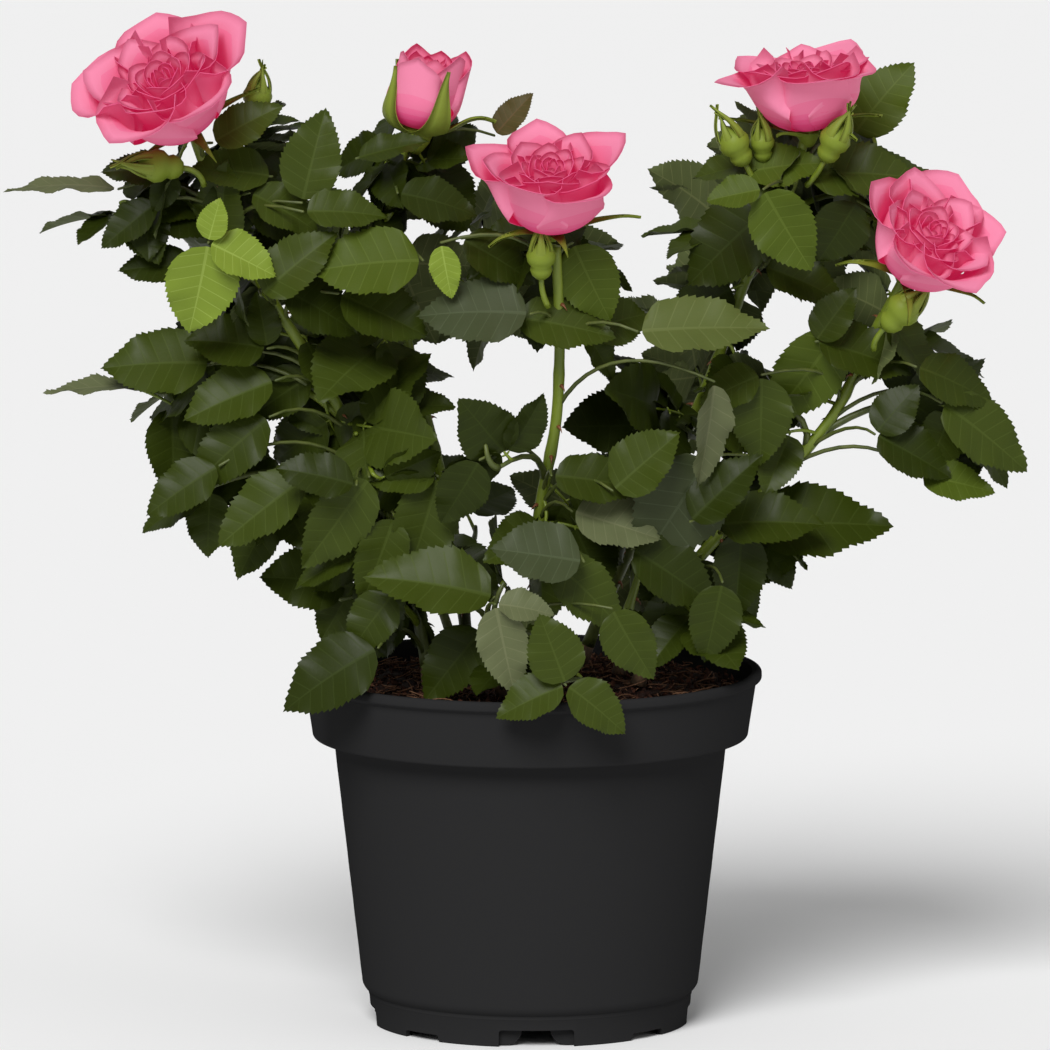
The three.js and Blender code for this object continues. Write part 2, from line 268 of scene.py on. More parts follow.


# Leaf palettes: each spray takes one, so a colour has its place without a pattern. dark, deep, mid
# and fresh are lit and shaded copies of one green: dealt at random they vary the tone, and dealt to
# the low front sprays they are painted shade.
LEAF_TONES = {
    "dark": {"top": (0.019, 0.028, 0.0020), "vein": (0.025, 0.037, 0.004)},
    "deep": {"top": (0.026, 0.038, 0.0028), "vein": (0.034, 0.049, 0.005)},
    "mid": {"top": (0.037, 0.053, 0.0052), "vein": (0.048, 0.068, 0.009)},
    "fresh": {"top": (0.056, 0.082, 0.0060), "vein": (0.074, 0.105, 0.012)},
    "young": {"top": (0.165, 0.232, 0.026), "vein": (0.225, 0.300, 0.052)},
    "pale": {"top": (0.080, 0.102, 0.0240), "vein": (0.102, 0.126, 0.036)},
    "grey": {"top": (0.105, 0.120, 0.0540), "vein": (0.132, 0.145, 0.070)},
    # This tone is a dark green with a glossy leaf's bluish sheen painted into it.
    "painted_sheen": {"top": (0.044, 0.056, 0.0230), "vein": (0.058, 0.074, 0.034)},
    "bronze": {"top": (0.070, 0.056, 0.0160), "vein": (0.098, 0.064, 0.022)},
}
UNDERSIDE = {"under": (0.085, 0.105, 0.036), "keel": (0.130, 0.150, 0.055)}
TONE_ORDER = list(LEAF_TONES)

leaf_materials = []
for tone, colours in LEAF_TONES.items():
    shine = 0.40 if tone in ("dark", "deep", "mid") else 0.50
    leaf_materials.append(material(
        f"leaf_{tone}", colours["top"], shine, specular=0.13, bump=(900.0, 0.05)))
    leaf_materials.append(material(f"vein_{tone}", colours["vein"], 0.5, specular=0.13))
leaf_materials.append(material("leaf_under", UNDERSIDE["under"], 0.62, specular=0.12,
                               bump=(1200.0, 0.05)))
leaf_materials.append(material("leaf_keel", UNDERSIDE["keel"], 0.6, specular=0.12))
UNDER_LOOK, KEEL_LOOK = len(leaf_materials) - 2, len(leaf_materials) - 1

STEM_LOOKS = {"green": 0, "olive": 1, "brown": 2, "red": 3}
stem_materials = [
    mottled("stem_green", (0.120, 0.170, 0.008), (0.190, 0.250, 0.020), 0.45, 220, 0.10,
            (1, 1, 0.2)),
    mottled("stem_olive", (0.050, 0.070, 0.010), (0.095, 0.115, 0.020), 0.5, 260, 0.15,
            (1, 1, 0.2)),
    mottled("stem_brown", (0.060, 0.036, 0.018), (0.170, 0.100, 0.050), 0.8, 500, 0.35,
            (1, 1, 0.25)),
    material("prickle_red", (0.180, 0.060, 0.020), 0.5),
]

# Petal tones from the rim of a petal down to its foot: painted light and shade, pale where the rims
# catch the light and deep where the cup shades the foot and the heart.
PETAL_TONES = {
    "rim": (0.600, 0.215, 0.325),
    "light": (0.600, 0.175, 0.290),
    "pink": (0.595, 0.135, 0.262),
    "rose": (0.590, 0.098, 0.230),
    "warm": (0.580, 0.068, 0.195),
    "deep": (0.565, 0.043, 0.150),
    "heart": (0.540, 0.026, 0.105),
}
# Each petal glows faintly with painted light, which lifts its shade.
petal_materials = [
    material(f"petal_{tone}", colour, 0.6, specular=0.12, painted_glow=(0.190, 0.004, 0.030),
             bump=(700.0, 0.06))
    for tone, colour in PETAL_TONES.items()
]
calyx_materials = [
    material("calyx_green", (0.170, 0.225, 0.022), 0.5, specular=0.2, bump=(600.0, 0.08)),
    material("sepal_green", (0.185, 0.235, 0.030), 0.5, specular=0.2, bump=(600.0, 0.08)),
    material("sepal_edge", (0.240, 0.190, 0.070), 0.55, specular=0.2),
]


# ------------------------------------------------------------------ leaflets

def outline(u, width):
    """Half the leaflet's width at u along it, both as shares of its length."""
    shape = np.power(np.clip(u, 0, 1), 0.55) * np.power(np.clip(1 - u, 0, 1), 0.88)
    return width * shape / 0.386


def leaflet_template(width, seed):
    """One leaflet of length 1 in its own frame: x across, y along, z out of its top.

    Returns its top's vertices, which of them the underside has below them, and its faces.
    """
    size = LEAFLET
    rng = np.random.default_rng(seed)
    half_vein = size["vein_width"] / 2
    stations = np.linspace(size["first_vein"], size["last_vein"], size["veins"])
    lines, kinds = [0.012], []
    ends = [0.012, *stations, 0.968]
    for i in range(len(ends) - 1):
        low = ends[i] + (half_vein if i else 0)
        high = ends[i + 1] - (half_vein if i < len(ends) - 2 else 0)
        lines += [(low + high) / 2, high]
        kinds += ["panel", "panel"]
        if i < len(ends) - 2:
            lines.append(ends[i + 1] + half_vein)
            kinds.append("vein")
    lines = np.array(lines)
    columns = np.array([0.0, 0.45, 0.90])
    slant = size["slant"] * np.sqrt(lines) * (1 - lines) ** 0.8
    wave = rng.uniform(0, TAU, 3)
    fold, droop, curl = rng.uniform(0.10, 0.34), rng.uniform(0.02, 0.22), rng.uniform(-0.1, 0.1)

    def height(x, y, v, line_share):
        """The leaflet's relief: a fold at the midrib, a droop, puckers and a wavy edge."""
        pucker = 0.011 * line_share * np.sin(np.pi * np.clip(v, 0, 1) ** 0.7)
        ripple = 0.020 * v ** 2 * np.sin(TAU * 2.2 * y + wave[0]) * np.sign(x + 1e-9)
        ripple += 0.014 * v ** 2 * np.sin(TAU * 3.7 * y + wave[1])
        return (fold * np.abs(x) - droop * y ** 2 + curl * x * y + pucker + ripple
                - 0.30 * fold * np.abs(x) ** 1.5)

    # Puckers are highest half-way between two side veins.
    swell = np.array([0.2] + [1.0 if k == "panel" and i % 3 == 0 else 0.0
                              for i, k in enumerate(kinds)])
    verts, index = [], {}

    def point(key, x, y, v, share):
        index[key] = len(verts)
        verts.append((x, y, float(height(np.array(x), np.array(y), np.array(v), share))))

    rib = 0.016 * (1 - lines) + 0.003
    for side in (-1, 1):
        for j, t in enumerate(lines):
            edge_y = t + slant[j]
            edge_x = outline(edge_y, width)
            for c, v in enumerate(columns):
                x = side * (rib[j] + v * max(edge_x - rib[j], 0.004))
                point((side, j, c), x, t + slant[j] * v, v, swell[j])
            point((side, j, "edge"), side * max(edge_x, rib[j] + 0.006), edge_y, 1, 0)
    for side in (-1, 1):
        for j, kind in enumerate(kinds):
            if kind != "panel":
                continue
            a, b = lines[j] + slant[j], lines[j + 1] + slant[j + 1]
            y = a + (b - a) * 0.86
            tooth = size["tooth"] * (0.6 + 0.6 * math.sin(math.pi * min(y, 1)))
            x = outline(a + (b - a) * 0.7, width) + tooth * rng.uniform(0.75, 1.2)
            point((side, j, "tooth"), side * x, y + tooth * 0.35, 1, 0)
    last = len(lines) - 1
    point("apex", 0.0, 1.0 + 0.02, 0, 0)
    apex, last_row = index["apex"], (0, 1, 2, "edge")
    quads, veins, tris = [], [], []
    for side in (-1, 1):

        def at(j, column):
            return index[(side, j, column)]

        for j, kind in enumerate(kinds):
            for c in range(len(columns) - 1):
                ring = (at(j, c), at(j, c + 1), at(j + 1, c + 1), at(j + 1, c))
                (veins if kind == "vein" else quads).append(ring[::side])
            a, b, c, d = at(j, 2), at(j, "edge"), at(j + 1, "edge"), at(j + 1, 2)
            if kind == "vein":
                quads.append((a, b, c, d)[::side])
            else:
                t = at(j, "tooth")
                tris += [ring[::side] for ring in ((a, b, t), (a, t, d), (d, t, c))]
        chain = [at(last, k) for k in last_row]
        tris += [(a, b, apex)[::side] for a, b in zip(chain, chain[1:])]
    rib_quads = [[index[(-1, j, 0)], index[(1, j, 0)], index[(1, j + 1, 0)], index[(-1, j + 1, 0)]]
                 for j in range(last)]
    tris.append((index[(-1, last, 0)], index[(1, last, 0)], apex))

    # The underside shares the edge's vertices and lies a leaf's thickness below the rest.
    count = len(verts)
    rim = {i for key, i in index.items() if key == "apex" or key[2] in ("edge", "tooth")}
    inner = np.array([i for i in range(count) if i not in rim])
    under_of = np.arange(count)
    under_of[inner] = count + np.arange(len(inner))
    return {
        "top": np.array(verts), "inner": inner, "under_of": under_of, "quads": np.array(quads),
        "veins": np.array(veins), "rib": np.array(rib_quads), "tris": np.array(tris),
    }


# Leaflets from broad to narrow, each with its own fold, droop and waves.
BUILD_WIDTHS = {
    "broad": [0.37, 0.34, 0.39, 0.32, 0.36, 0.33, 0.40, 0.35],
    "middling": [0.30, 0.28, 0.31],
    "narrow": [0.24, 0.22, 0.25],
    "spear": [0.17, 0.15],
}
BUILDS = {
    build: [leaflet_template(w, 40 + 20 * k + i) for i, w in enumerate(widths)]
    for k, (build, widths) in enumerate(BUILD_WIDTHS.items())
}


def turned_over(faces):
    """The same faces seen from behind, split along the same diagonals."""
    return np.concatenate([faces[:, :1], faces[:, :0:-1]], 1)


def add_leaflet(soup, base, along, normal, length, tone, rng, build="broad"):
    """Puts one leaflet in the soup, with its stalk end at base."""
    pool = BUILDS[build]
    shape = pool[rng.integers(len(pool))]
    across = np.cross(along, normal)
    frame3 = np.stack([across, along, normal])
    top = shape["top"] @ frame3 * length + base
    under = top[shape["inner"]] - normal * LEAFLET["thickness"]
    look = TONE_ORDER.index(tone) * 2
    flipped = [turned_over(shape["under_of"][shape[k]]) for k in ("quads", "tris", "veins", "rib")]
    soup.add(
        np.concatenate([top, under]),
        [shape["quads"], shape["tris"], shape["veins"], shape["rib"], *flipped],
        [look, look, look + 1, look + 1, UNDER_LOOK, UNDER_LOOK, KEEL_LOOK, KEEL_LOOK],
        [0] * 4 + [1] * 4,  # top and underside, for the crisp edge between them
    )


# ------------------------------------------------------------------ compound leaves

def leaf_plan(length, rng):
    """How many pairs of side leaflets a leaf of this length has, and its end leaflet's length."""
    if length < 30:
        return 0 if rng.random() < 0.35 else 1, min(length * 0.85, 26.0)
    if length < 46:
        return 1, min(length * 0.68, 29.0)
    return 2, min(length * 0.54, 30.5)


def compound_leaf(soup, stems, base, tip, normal, tone, rng):
    """A rose leaf from its foot on a twig to its furthest tip: a stalk, its side leaflets in
    pairs and one leaflet at the end."""
    span = tip - base
    length = np.linalg.norm(span)
    along = span / length
    normal = square_to(along, normal)
    pairs, end = leaf_plan(length, rng)
    arch = rng.uniform(0.04, 0.14)
    joint = tip - along * end - normal * length * arch * 0.3
    middle = (base + joint) / 2 + normal * length * arch
    stalk = bezier(base, middle, joint, 8)
    tube(stems, stalk, np.linspace(0.62, 0.36, 9), STEM_LOOKS["green"], sides=5)
    end_along = unit(tip - joint)
    end_normal = square_to(end_along, normal + rng.normal(0, 0.10, 3))
    add_leaflet(soup, joint, end_along, end_normal, end, tone, rng)
    for pair in range(pairs):
        share = (0.80, 0.44)[pair] if pairs == 2 else 0.72
        at = stalk[int(round(share * 8))]
        heading = unit(stalk[min(int(share * 8) + 1, 8)] - stalk[int(share * 8)])
        across = np.cross(heading, normal)
        size = end * (0.86, 0.66)[pair] * rng.uniform(0.9, 1.06)
        for side in (-1, 1):
            lean = rng.uniform(0.30, 0.62)
            leaf_along = unit(heading * lean + side * across + normal * rng.uniform(-0.28, 0.18))
            leaf_normal = square_to(leaf_along, normal + rng.normal(0, 0.16, 3))
            foot = at + leaf_along * 1.2
            tube(stems, [at, foot], [0.32, 0.26], STEM_LOOKS["green"], sides=4)
            add_leaflet(soup, foot, leaf_along, leaf_normal, size * rng.uniform(0.92, 1.05),
                        tone, rng)


# ------------------------------------------------------------------ the frame's limbs and masses

def mesh_points(node):
    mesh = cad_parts[node].data
    points = np.empty(len(mesh.vertices) * 3)
    mesh.vertices.foreach_get("co", points)
    return points.reshape(-1, 3) / MM


def centreline(node, step=4.0):
    """The middle of a CAD cane from its foot to its top, from slices across it."""
    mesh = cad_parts[node].data
    points = mesh_points(node)
    ends = np.array([tuple(e.vertices) for e in mesh.edges])
    low, high = points[:, 2].min(), points[:, 2].max()
    levels = np.linspace(low + 0.05, high - 0.4, max(4, int((high - low) / step)))
    a, b = points[ends[:, 0]], points[ends[:, 1]]
    line = []
    for z in levels:
        cross = (a[:, 2] - z) * (b[:, 2] - z) < 0
        pa, pb = a[cross], b[cross]
        t = ((z - pa[:, 2]) / (pb[:, 2] - pa[:, 2]))[:, None]
        hits = pa + t * (pb - pa)
        line.append((hits.min(0) + hits.max(0)) / 2)
    return smoothed(np.array(line))


def smoothed(line, rounds=3):
    """A route with its kinks eased, and both ends kept."""
    for _ in range(rounds):
        line[1:-1] = (line[:-2] + 2 * line[1:-1] + line[2:]) / 4
    return line


class Mass:
    """One foliage mass of the frame, with tests for what lies in it."""

    def __init__(self, node):
        self.points = mesh_points(node)
        self.low, self.high = self.points.min(0), self.points.max(0)
        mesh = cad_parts[node].data
        polygons = [tuple(p.vertices) for p in mesh.polygons]
        self.tree = BVHTree.FromPolygons([Vector(p) for p in self.points], polygons)
        areas = np.array([p.area for p in mesh.polygons]) / MM ** 2
        self.area = areas.sum()
        self.centre = sum(np.array(p.center) * p.area for p in mesh.polygons) / MM
        self.centre /= sum(p.area for p in mesh.polygons)

    def outside_by(self, p):
        """How far p lies outside the mass, in millimetres: less than 0 inside."""
        if np.any(p < self.low - 14) or np.any(p > self.high + 14):
            return 99.0
        near, normal, _, distance = self.tree.find_nearest(Vector(p))
        return distance if (Vector(p) - near).dot(normal) > 0 else -distance

    def reach(self, direction):
        """The mass's surface point along a direction from its centre."""
        hit, _, _, _ = self.tree.ray_cast(Vector(self.centre), Vector(direction))
        return np.array(hit) if hit else self.centre + direction * 15

    def tips(self):
        """The points that stand out furthest from the mass's middle."""
        away = self.points - self.centre
        far = np.linalg.norm(away, axis=1)
        usual = np.median(far)
        chosen = []
        for i in np.argsort(-far):
            if far[i] < usual * 1.34:
                break
            if all(np.linalg.norm(self.points[i] - c) > 14 for c in chosen):
                chosen.append(self.points[i])
        return chosen


masses = {n: Mass(n) for n in sorted(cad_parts) if n.startswith("foliage_")}
cane_lines = {n: centreline(n) for n in sorted(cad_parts)
              if n.startswith("cane_") and n != "cane_stub"}

# Each bloom's cane and the way that it faces, the size of its petals, how far they are open, and
# how far it sits off the end of its cane, as x and z.
BLOOMS = {
    "bloom_left": {
        "cane": "cane_left", "facing": (-0.32, -0.6, 0.73), "radius": 26.6, "open": 1.2,
        "shift": (-0.8, 0.4)},
    "bloom_half_open": {
        "cane": "cane_left_bud", "facing": (0.16, -0.1, 1), "radius": 17.4, "open": 0.2,
        "shift": (2.2, -2.2)},
    "bloom_centre": {
        "cane": "cane_centre", "facing": (-0.02, -0.42, 0.9), "radius": 24.6, "open": 0.8,
        "shift": (-1.1, 3.3)},
    "bloom_right": {
        "cane": "cane_right", "facing": (-0.08, -0.12, 1), "radius": 23.2, "open": 1.15,
        "shift": (1.2, 0.2)},
    "bloom_far_right": {
        "cane": "cane_far_right", "facing": (0.4, -0.6, 0.7), "radius": 23.6, "open": 1.0,
        "shift": (-0.3, 0.4)},
}

# Windows through the crown, where the sky shows: middle x and z, half-width and half-height.
WINDOWS = [
    (-10, 185, 9, 7), (-15, 135, 8, 14), (-20, 115, 9, 6), (45, 160, 11, 6), (40, 185, 10, 5),
    (25, 190, 6, 5), (55, 175, 4, 4), (70, 195, 9, 8), (85, 175, 10, 5), (-70, 185, 3, 3),
    (95, 155, 13, 5), (80, 120, 22, 11), (120, 130, 20, 14), (-90, 110, 18, 14),
    (-120, 200, 14, 11), (-115, 160, 12, 9), (5, 265, 22, 9), (-15, 245, 4, 5),
    (35, 260, 12, 15), (-65, 275, 16, 10), (150, 200, 20, 14), (-70, 110, 8, 12),
]
# Stretches of cane that show, with no leaves before them: middle x and z, half-height, y.
BARE_STRETCHES = [
    (6, 172, 11, -10), (2, 152, 15, -8), (6, 215, 8, -30), (80, 166, 12, -8), (57, 205, 8, -6),
]


def seen_at(p):
    """Where a point shows, carried along the line of sight to the plane of the pot's axis."""
    scale = VIEW["distance"] / (VIEW["distance"] + p[1])
    return p[0] * scale, VIEW["height"] + (p[2] - VIEW["height"]) * scale


def in_window(p):
    x, z = seen_at(p)
    return any(((x - wx) / w) ** 2 + ((z - wz) / h) ** 2 < 1 for wx, wz, w, h in WINDOWS)


def in_crown(p, slack):
    return any(m.outside_by(p) < slack for m in masses.values())


# ------------------------------------------------------------------ growing the crown

CROWDING = 1550.0  # square millimetres of a mass's surface for each leaf
LEAF_TRIES = 12


def crown_normal(at, along, rng):
    """Leaves turn their tops up and outwards, the front ones towards the viewer."""
    out = np.array([at[0] * 0.45, at[1] - 22.0, 0.0])
    out = out / max(np.linalg.norm(out), 22.0)
    return square_to(along, UP * 0.62 + out * 0.80 + rng.normal(0, 0.26, 3))


def twig_route(limbs, goal):
    """A twig from the nearest limb, below the goal, up to the goal."""
    best = math.inf
    for line in limbs:
        away = np.linalg.norm(line - goal, axis=1) + 0.9 * np.maximum(0, line[:, 2] - goal[2] + 8)
        i = int(np.argmin(away))
        if away[i] < best:
            best, foot = away[i], line[i]
            heading = unit(line[min(i + 1, len(line) - 1)] - line[max(i - 1, 0)])
    reach = np.linalg.norm(goal - foot)
    bend = foot + heading * reach * 0.45 + (goal - foot) * 0.25
    return bezier(foot, bend, goal, max(5, int(reach / 4)))


def grow_mass(mass, limbs, leaves, stems, rng, shown):
    """Twigs from the canes into the mass, then leaves from the twigs to its surface."""
    twigs = []
    away = mass.centre - np.array([0, 0, mass.centre[2]])
    goals = [mass.centre + unit(away + UP * 20) * 6]
    goals += [mass.centre + (tip - mass.centre) * 0.45 for tip in mass.tips()[:3]]
    for goal in goals:
        route = twig_route(limbs + twigs, goal)
        if len(route) > 2:
            twigs.append(route)
            tube(stems, route, np.linspace(1.15, 0.6, len(route)),
                 STEM_LOOKS["green" if rng.random() < 0.25 else "olive"], sides=7)
    spine = np.concatenate(twigs + [l[[mass.outside_by(p) < 10 for p in l]] for l in limbs])
    tones = rng.choice(["dark", "deep", "mid"], p=[0.42, 0.36, 0.22], size=64)
    count = max(4, int(round(mass.area / CROWDING)))
    targets = [(tip, True) for tip in mass.tips()]
    turn = rng.uniform(0, TAU)
    for i in range(count):
        z = 1 - 2 * (i + 0.5) / count
        ring = math.sqrt(max(0, 1 - z * z))
        angle = turn + i * GOLDEN_TURN
        direction = unit([ring * math.cos(angle), ring * math.sin(angle), z])
        targets.append((mass.reach(direction), False))
    for k, (target, is_tip) in enumerate(targets):
        for attempt in range(LEAF_TRIES):
            wanted = rng.uniform(26, 46)
            goal = target if is_tip else target + rng.normal(0, 2.5 + attempt * 0.8, 3)
            goal = goal if is_tip else mass.centre + (goal - mass.centre) * rng.uniform(0.86, 1.0)
            gap = np.linalg.norm(spine - goal, axis=1)
            cost = np.abs(gap - wanted) + 0.45 * np.maximum(0, goal[2] - spine[:, 2] - 4)
            foot = spine[int(np.argmin(cost + rng.uniform(0, 4, len(cost))))]
            length = np.linalg.norm(goal - foot)
            if length < 16:
                continue
            if length > 60:
                foot = goal + (foot - goal) * 58 / length
            middle = foot + (goal - foot) * 0.6
            spread = np.array([12.0, 0.0, 0.0])
            if any(in_window(p) for p in (goal, middle, middle + spread, middle - spread)):
                continue
            if hides_shown(goal, shown) or hides_shown(middle, shown):
                continue
            if not is_tip and not in_crown(middle, 5):
                continue
            along = unit(goal - foot)
            compound_leaf(leaves, stems, foot, goal, crown_normal(goal, along, rng),
                          str(tones[k % 64]), rng)
            break


# ------------------------------------------------------------------ sprays at the front

# The few sprays that catch the eye, each to the nearest 5 mm. Each has its tone, its depth (y),
# the joint that its blades part from, as x and z seen from the front at the scale of the pot's
# axis, and its blades: the build, the heading in degrees (0 to the right, 90 up) and the length.
EYE_CATCHERS = [
    ("young", -35, (-90, 220), [("broad", 260, 25), ("broad", 335, 20), ("broad", 75, 12)]),
    ("grey", -10, (-115, 235), [("spear", 170, 30)]),
    ("grey", -5, (-105, 180), [("spear", 180, 30)]),
    ("fresh", -35, (-30, 215), [("broad", 180, 30)]),
    ("young", -40, (-25, 220), [("middling", 280, 15)]),
    ("pale", -40, (30, 195), [("middling", 5, 35)]),
    # These three sprays have a bluish sheen painted into their colour.
    ("painted_sheen", -40, (0, 200), [("broad", 175, 30)]),
    ("painted_sheen", -55, (15, 130), [("broad", 170, 25)]),
    ("painted_sheen", -35, (50, 160), [("broad", 240, 35)]),
    ("fresh", -35, (65, 235), [("broad", 300, 25), ("broad", 190, 15)]),
    ("fresh", 20, (90, 250), [("broad", 55, 25)]),
    ("mid", -25, (115, 175), [("middling", 325, 30)]),
    ("deep", -15, (60, 140), [("middling", 5, 40)]),
    ("mid", -50, (-10, 120), [("middling", 165, 35)]),
    ("mid", -70, (10, 95), [("broad", 110, 20), ("broad", 200, 20), ("broad", 325, 20)]),
    ("bronze", 5, (-10, 250), [("middling", 50, 15)]),
]
# The rest of the front, area by area: its middle and half-sizes as x and z seen from the front,
# how deep its sprays lie (y), how many it has, the heading of their end blades and how far that
# strays in degrees, and the tones, which are dealt out in turn.
FRONT_AREAS = {
    "left edge": ((-90, 200), (20, 45), -18, 9, (195, 30), ["dark", "deep", "mid"]),
    "left shoulder": ((-60, 230), (30, 25), -28, 11, (20, 70), ["mid", "dark", "mid", "deep"]),
    # The low areas take the darker tones, as painted shade on the lower leaves.
    "lower left": ((-40, 135), (30, 30), -38, 10, (210, 50), ["mid", "deep", "dark"]),
    "over the rim": ((10, 110), (45, 12), -58, 4, (250, 60), ["mid", "grey"]),
    "centre": ((15, 155), (40, 35), -42, 8, (340, 90), ["deep", "mid", "grey", "dark"]),
    "upper centre": ((5, 215), (35, 25), -36, 8, (30, 100), ["mid", "fresh", "dark", "pale"]),
    "right shoulder": ((80, 220), (25, 28), -20, 8, (300, 80), ["mid", "dark", "fresh", "deep"]),
    "right edge": ((105, 178), (20, 25), -20, 8, (350, 25), ["dark", "deep", "fresh", "mid"]),
    "lower right": ((70, 160), (30, 30), -22, 9, (330, 80), ["deep", "dark", "mid"]),
}
BLADE_LENGTH = (19, 32)  # end blades of the front sprays
SIDE_BLADE = {"part": (55, 80), "share": (0.6, 0.8), "chance": 0.35}
BLADE_SPACING = 13  # the least distance between the middles of two front blades
SPRAY_TRIES = 60
# How far blades turn away from facing the viewer, in degrees: slender ones show their edge, and
# the others lie flatter the more level their heading is.
EDGE_ON = {"spear": 72, "narrow": 44}
FACING_TURN, LEVEL_TURN = 8, 27


def carried(x, z, y):
    """The point at depth y that shows at x and z from the front."""
    scale = (VIEW["distance"] + y) / VIEW["distance"]
    return np.array([x * scale, y, VIEW["height"] + (z - VIEW["height"]) * scale])


def blade_middle(at, heading, length):
    way = math.radians(heading)
    return at[0] + math.cos(way) * length / 2, at[1] + math.sin(way) * length / 2


def fits_front(at, depth, blades, taken):
    """Whether a spray keeps to the crown, off its windows and clear of the blades before it."""
    for _, heading, length in blades:
        x, z = blade_middle(at, heading, length)
        tip = blade_middle(at, heading, length * 2)
        if any(in_window(carried(*p, depth)) for p in (at, (x, z), tip)):
            return False
        if not in_crown(carried(x, z, depth), 4) or not in_crown(carried(*tip, depth), 9):
            return False
        if any(math.hypot(x - tx, z - tz) < BLADE_SPACING for tx, tz in taken):
            return False
        if any(abs(x - sx) < 9 and abs(z - sz) < half for sx, sz, half, _ in BARE_STRETCHES):
            return False
    return True


def front_sprays(rng):
    """The sprays that catch the eye, then those of each area by the rule above."""
    sprays = list(EYE_CATCHERS)
    taken = [blade_middle(at, heading, length)
             for _, _, at, blades in sprays for _, heading, length in blades]
    for middle, half, depth, wanted, (main, stray), tones in FRONT_AREAS.values():
        grown = 0
        for _ in range(SPRAY_TRIES * wanted):
            if grown == wanted:
                break
            at = tuple(m + h * rng.uniform(-1, 1) for m, h in zip(middle, half))
            heading = main + rng.uniform(-stray, stray)
            length = rng.uniform(*BLADE_LENGTH)
            build = str(rng.choice(["broad", "middling", "narrow"], p=[0.5, 0.38, 0.12]))
            blades = [(build, heading, length)]
            if rng.random() < SIDE_BLADE["chance"]:
                part = rng.uniform(*SIDE_BLADE["part"]) * rng.choice([-1, 1])
                blades.append(("broad", heading + part, length * rng.uniform(*SIDE_BLADE["share"])))
            lies = depth + rng.uniform(-7, 7)
            if fits_front(at, lies, blades, taken):
                sprays.append((tones[grown % len(tones)], lies, at, blades))
                taken += [blade_middle(at, turn, long) for _, turn, long in blades]
                grown += 1
    return sprays


def grow_front_sprays(limbs, leaves, stems, rng):
    """Grows the front sprays, and returns where each blade shows and how deep it lies."""
    shown = []
    for tone, depth, at, blades in front_sprays(rng):
        joint = carried(*at, depth)
        stalk = twig_route(limbs, joint)
        tube(stems, stalk, np.linspace(0.7, 0.4, len(stalk)), STEM_LOOKS["olive"], sides=5)
        for build, heading, length in blades:
            way = math.radians(heading)
            level = math.cos(way)
            along = unit([level, rng.uniform(-3.0, 0.5) / length, math.sin(way)])
            turn = EDGE_ON.get(build, FACING_TURN + LEVEL_TURN * level ** 2)
            turn = math.radians(turn + rng.uniform(-4, 4))
            facing = square_to(along, [0.0, -1.0, 0.18])
            lift = square_to(along, UP if abs(along[2]) < 0.8 else [-level, 0, 0.4])
            normal = square_to(along, math.cos(turn) * facing + math.sin(turn) * lift)
            add_leaflet(leaves, joint + along * 0.8, along, normal, length, tone, rng, build)
            x, z = seen_at(joint + along * length / 2)
            shown.append((x, z, length * 0.42, depth))
    return shown + BARE_STRETCHES


def hides_shown(p, shown):
    x, z = seen_at(p)
    return any(p[1] < depth + 5 and math.hypot(x - sx, z - sz) < reach + 3
               for sx, sz, reach, depth in shown)


# ------------------------------------------------------------------ blooms

SHEET_ROWS, PETAL_ACROSS, SEPAL_ACROSS = 14, 14, 4
PETAL_THICKNESS = 0.15


def sheet_grid(rows, across):
    """Shares along a sheet, 0 to 1, and across it, -1 to 1, for each of its points."""
    s = np.linspace(0, 1, rows + 1)
    t = np.linspace(-1, 1, across + 1)
    return np.meshgrid(s, t, indexing="ij")


def sheet_faces(rows, across):
    """The faces of one side of a sheet, and the points round its border, in order."""
    grid = np.arange((rows + 1) * (across + 1)).reshape(rows + 1, across + 1)
    faces = np.stack([grid[:-1, :-1], grid[:-1, 1:], grid[1:, 1:], grid[1:, :-1]], -1)
    border = np.concatenate([grid[0, :], grid[1:, -1], grid[-1, -2::-1], grid[-2:0:-1, 0]])
    return faces.reshape(-1, 4), border


def rolled_out(slope, step):
    """How far out and up each point of a strip lies, when a step leans by the slope given."""
    start = np.zeros((1, slope.shape[1]))
    return (np.concatenate([start, np.cumsum(np.sin(slope) * step, axis=0)]),
            np.concatenate([start, np.cumsum(np.cos(slope) * step, axis=0)]))


def stood_at(base, axis):
    """The matrix that puts an upright thing at base, along axis."""
    side = square_to(axis, [1, 0.2, 0])
    place = np.eye(4)
    place[:3, 0], place[:3, 1], place[:3, 2], place[:3, 3] = side, np.cross(axis, side), axis, base
    return place


def moved(points, place):
    return points @ place[:3, :3].T + place[:3, 3]


